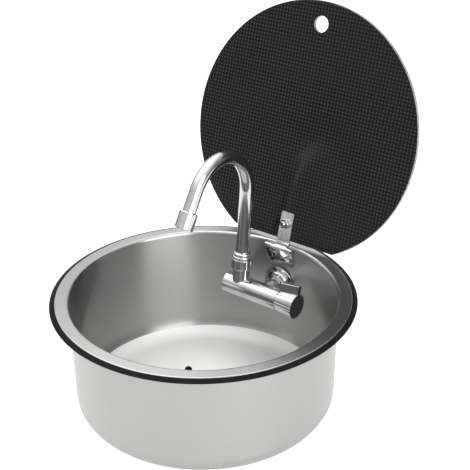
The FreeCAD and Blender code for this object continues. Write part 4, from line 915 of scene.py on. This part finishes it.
def make_floor():
    """A large round floor just under the lowest piece."""
    angle = np.linspace(0, 2 * math.pi, STUDIO_SIDES, endpoint=False)
    level = np.full(STUDIO_SIDES, cad_low.z - STUDIO_GAP)
    rim = np.stack((np.cos(angle) * STUDIO_R, np.sin(angle) * STUDIO_R, level), axis=-1)
    mesh = bpy.data.meshes.new("floor")
    mesh.from_pydata(rim.tolist(), [], [list(range(STUDIO_SIDES))])
    floor = bpy.data.objects.new("floor", mesh)
    bpy.context.scene.collection.objects.link(floor)
    material = new_material(
        "pale floor", Base_Color=(0.5, 0.5, 0.5), Roughness=0.7, Specular_IOR_Level=0.2,
        Emission_Color=(1.0, 1.0, 1.0), Emission_Strength=0.70)[0]
    mesh.materials.append(material)


def soft_box(name, place, aim, width, height, power):
    """A rectangular light at a place, looking at a point."""
    data = bpy.data.lights.new(name, "AREA")
    data.shape = "RECTANGLE"
    data.size, data.size_y = width, height
    data.energy = power
    lamp = bpy.data.objects.new(name, data)
    bpy.context.scene.collection.objects.link(lamp)
    lamp.location = place
    lamp.rotation_mode = "QUATERNION"
    lamp.rotation_quaternion = (Vector(aim) - Vector(place)).to_track_quat("-Z", "Y")


def add_grey(tree, colour):
    """The brightness of a grey colour, as a number."""
    split = add(tree, "ShaderNodeSeparateColor")
    link(tree, colour, split.inputs[0])
    return split.outputs[0]


def soft_area(tree, vector, aim, near, far, inside, outside):
    """A soft-edged area of the room: one value within `near` degrees of a direction, another
    beyond `far` degrees, and a smooth step between."""
    towards = add(tree, "ShaderNodeVectorMath", {"operation": "DOT_PRODUCT"})
    towards.inputs[1].default_value = Vector(aim).normalized()
    link(tree, vector, towards.inputs[0])
    fade = add(tree, "ShaderNodeMapRange", {"interpolation_type": "SMOOTHSTEP"},
               From_Min=math.cos(math.radians(far)), From_Max=math.cos(math.radians(near)),
               To_Min=outside, To_Max=inside)
    link(tree, towards.outputs["Value"], fade.inputs["Value"])
    return fade.outputs["Result"]


# Areas of the room: direction, degrees within which it holds, degrees beyond which it is gone, and
# the share of the light that it leaves or the light that it adds
DIMS = (
    ((0.55, 0.80, 0.10), 25, 60, 0.4),
    ((-0.55, -0.84, -0.05), 14, 38, 0.5),
)
GLOWS = (
    ((0.87, -0.31, 0.34), 19, 23, 5.5),
    ((-1.5, 0.2, 2.7), 8, 42, 1.3),
    ((-1.7, 1.6, 1.4), 8, 36, 0.3),
)


def make_room():
    """Light of a white room: brighter with height, dimmed at the back right and at the front left,
    with added light low on the right front, high on the left and at the back left."""
    world = bpy.data.worlds.new("studio")
    bpy.context.scene.world = world
    world.use_nodes = True
    tree = world.node_tree
    ground = tree.nodes["Background"]
    ground.inputs["Strength"].default_value = 1.0
    where = add(tree, "ShaderNodeTexCoord")
    split = add(tree, "ShaderNodeSeparateXYZ")
    link(tree, where.outputs["Generated"], split.inputs[0])
    ramp = add(tree, "ShaderNodeValToRGB")
    stops = ((0.0, 0.25), (0.13, 0.30), (0.30, 0.90), (0.60, 1.0), (0.85, 1.6), (1.0, 1.8))
    points = ramp.color_ramp.elements
    while len(points) < len(stops):
        points.new(0.5)
    for point, (place, grey) in zip(points, stops):
        point.position = place
        point.color = (grey, grey, grey, 1)
    link(tree, split.outputs[2], ramp.inputs["Fac"])
    shade = add_grey(tree, ramp.outputs["Color"])
    for aim, near, far, share in DIMS:
        dim = soft_area(tree, where.outputs["Generated"], aim, near, far, share, 1.0)
        shade = math_node(tree, "MULTIPLY", shade, dim)
    for aim, near, far, gain in GLOWS:
        glow = soft_area(tree, where.outputs["Generated"], aim, near, far, gain, 0.0)
        shade = math_node(tree, "ADD", shade, glow)
    link(tree, shade, ground.inputs["Color"])


make_floor()
make_room()
soft_box("key", place=(-0.9, 0.1, 2.0), aim=(0, 0, 0), width=1.6, height=1.6, power=5)
bpy.context.scene.view_settings.view_transform = "Standard"
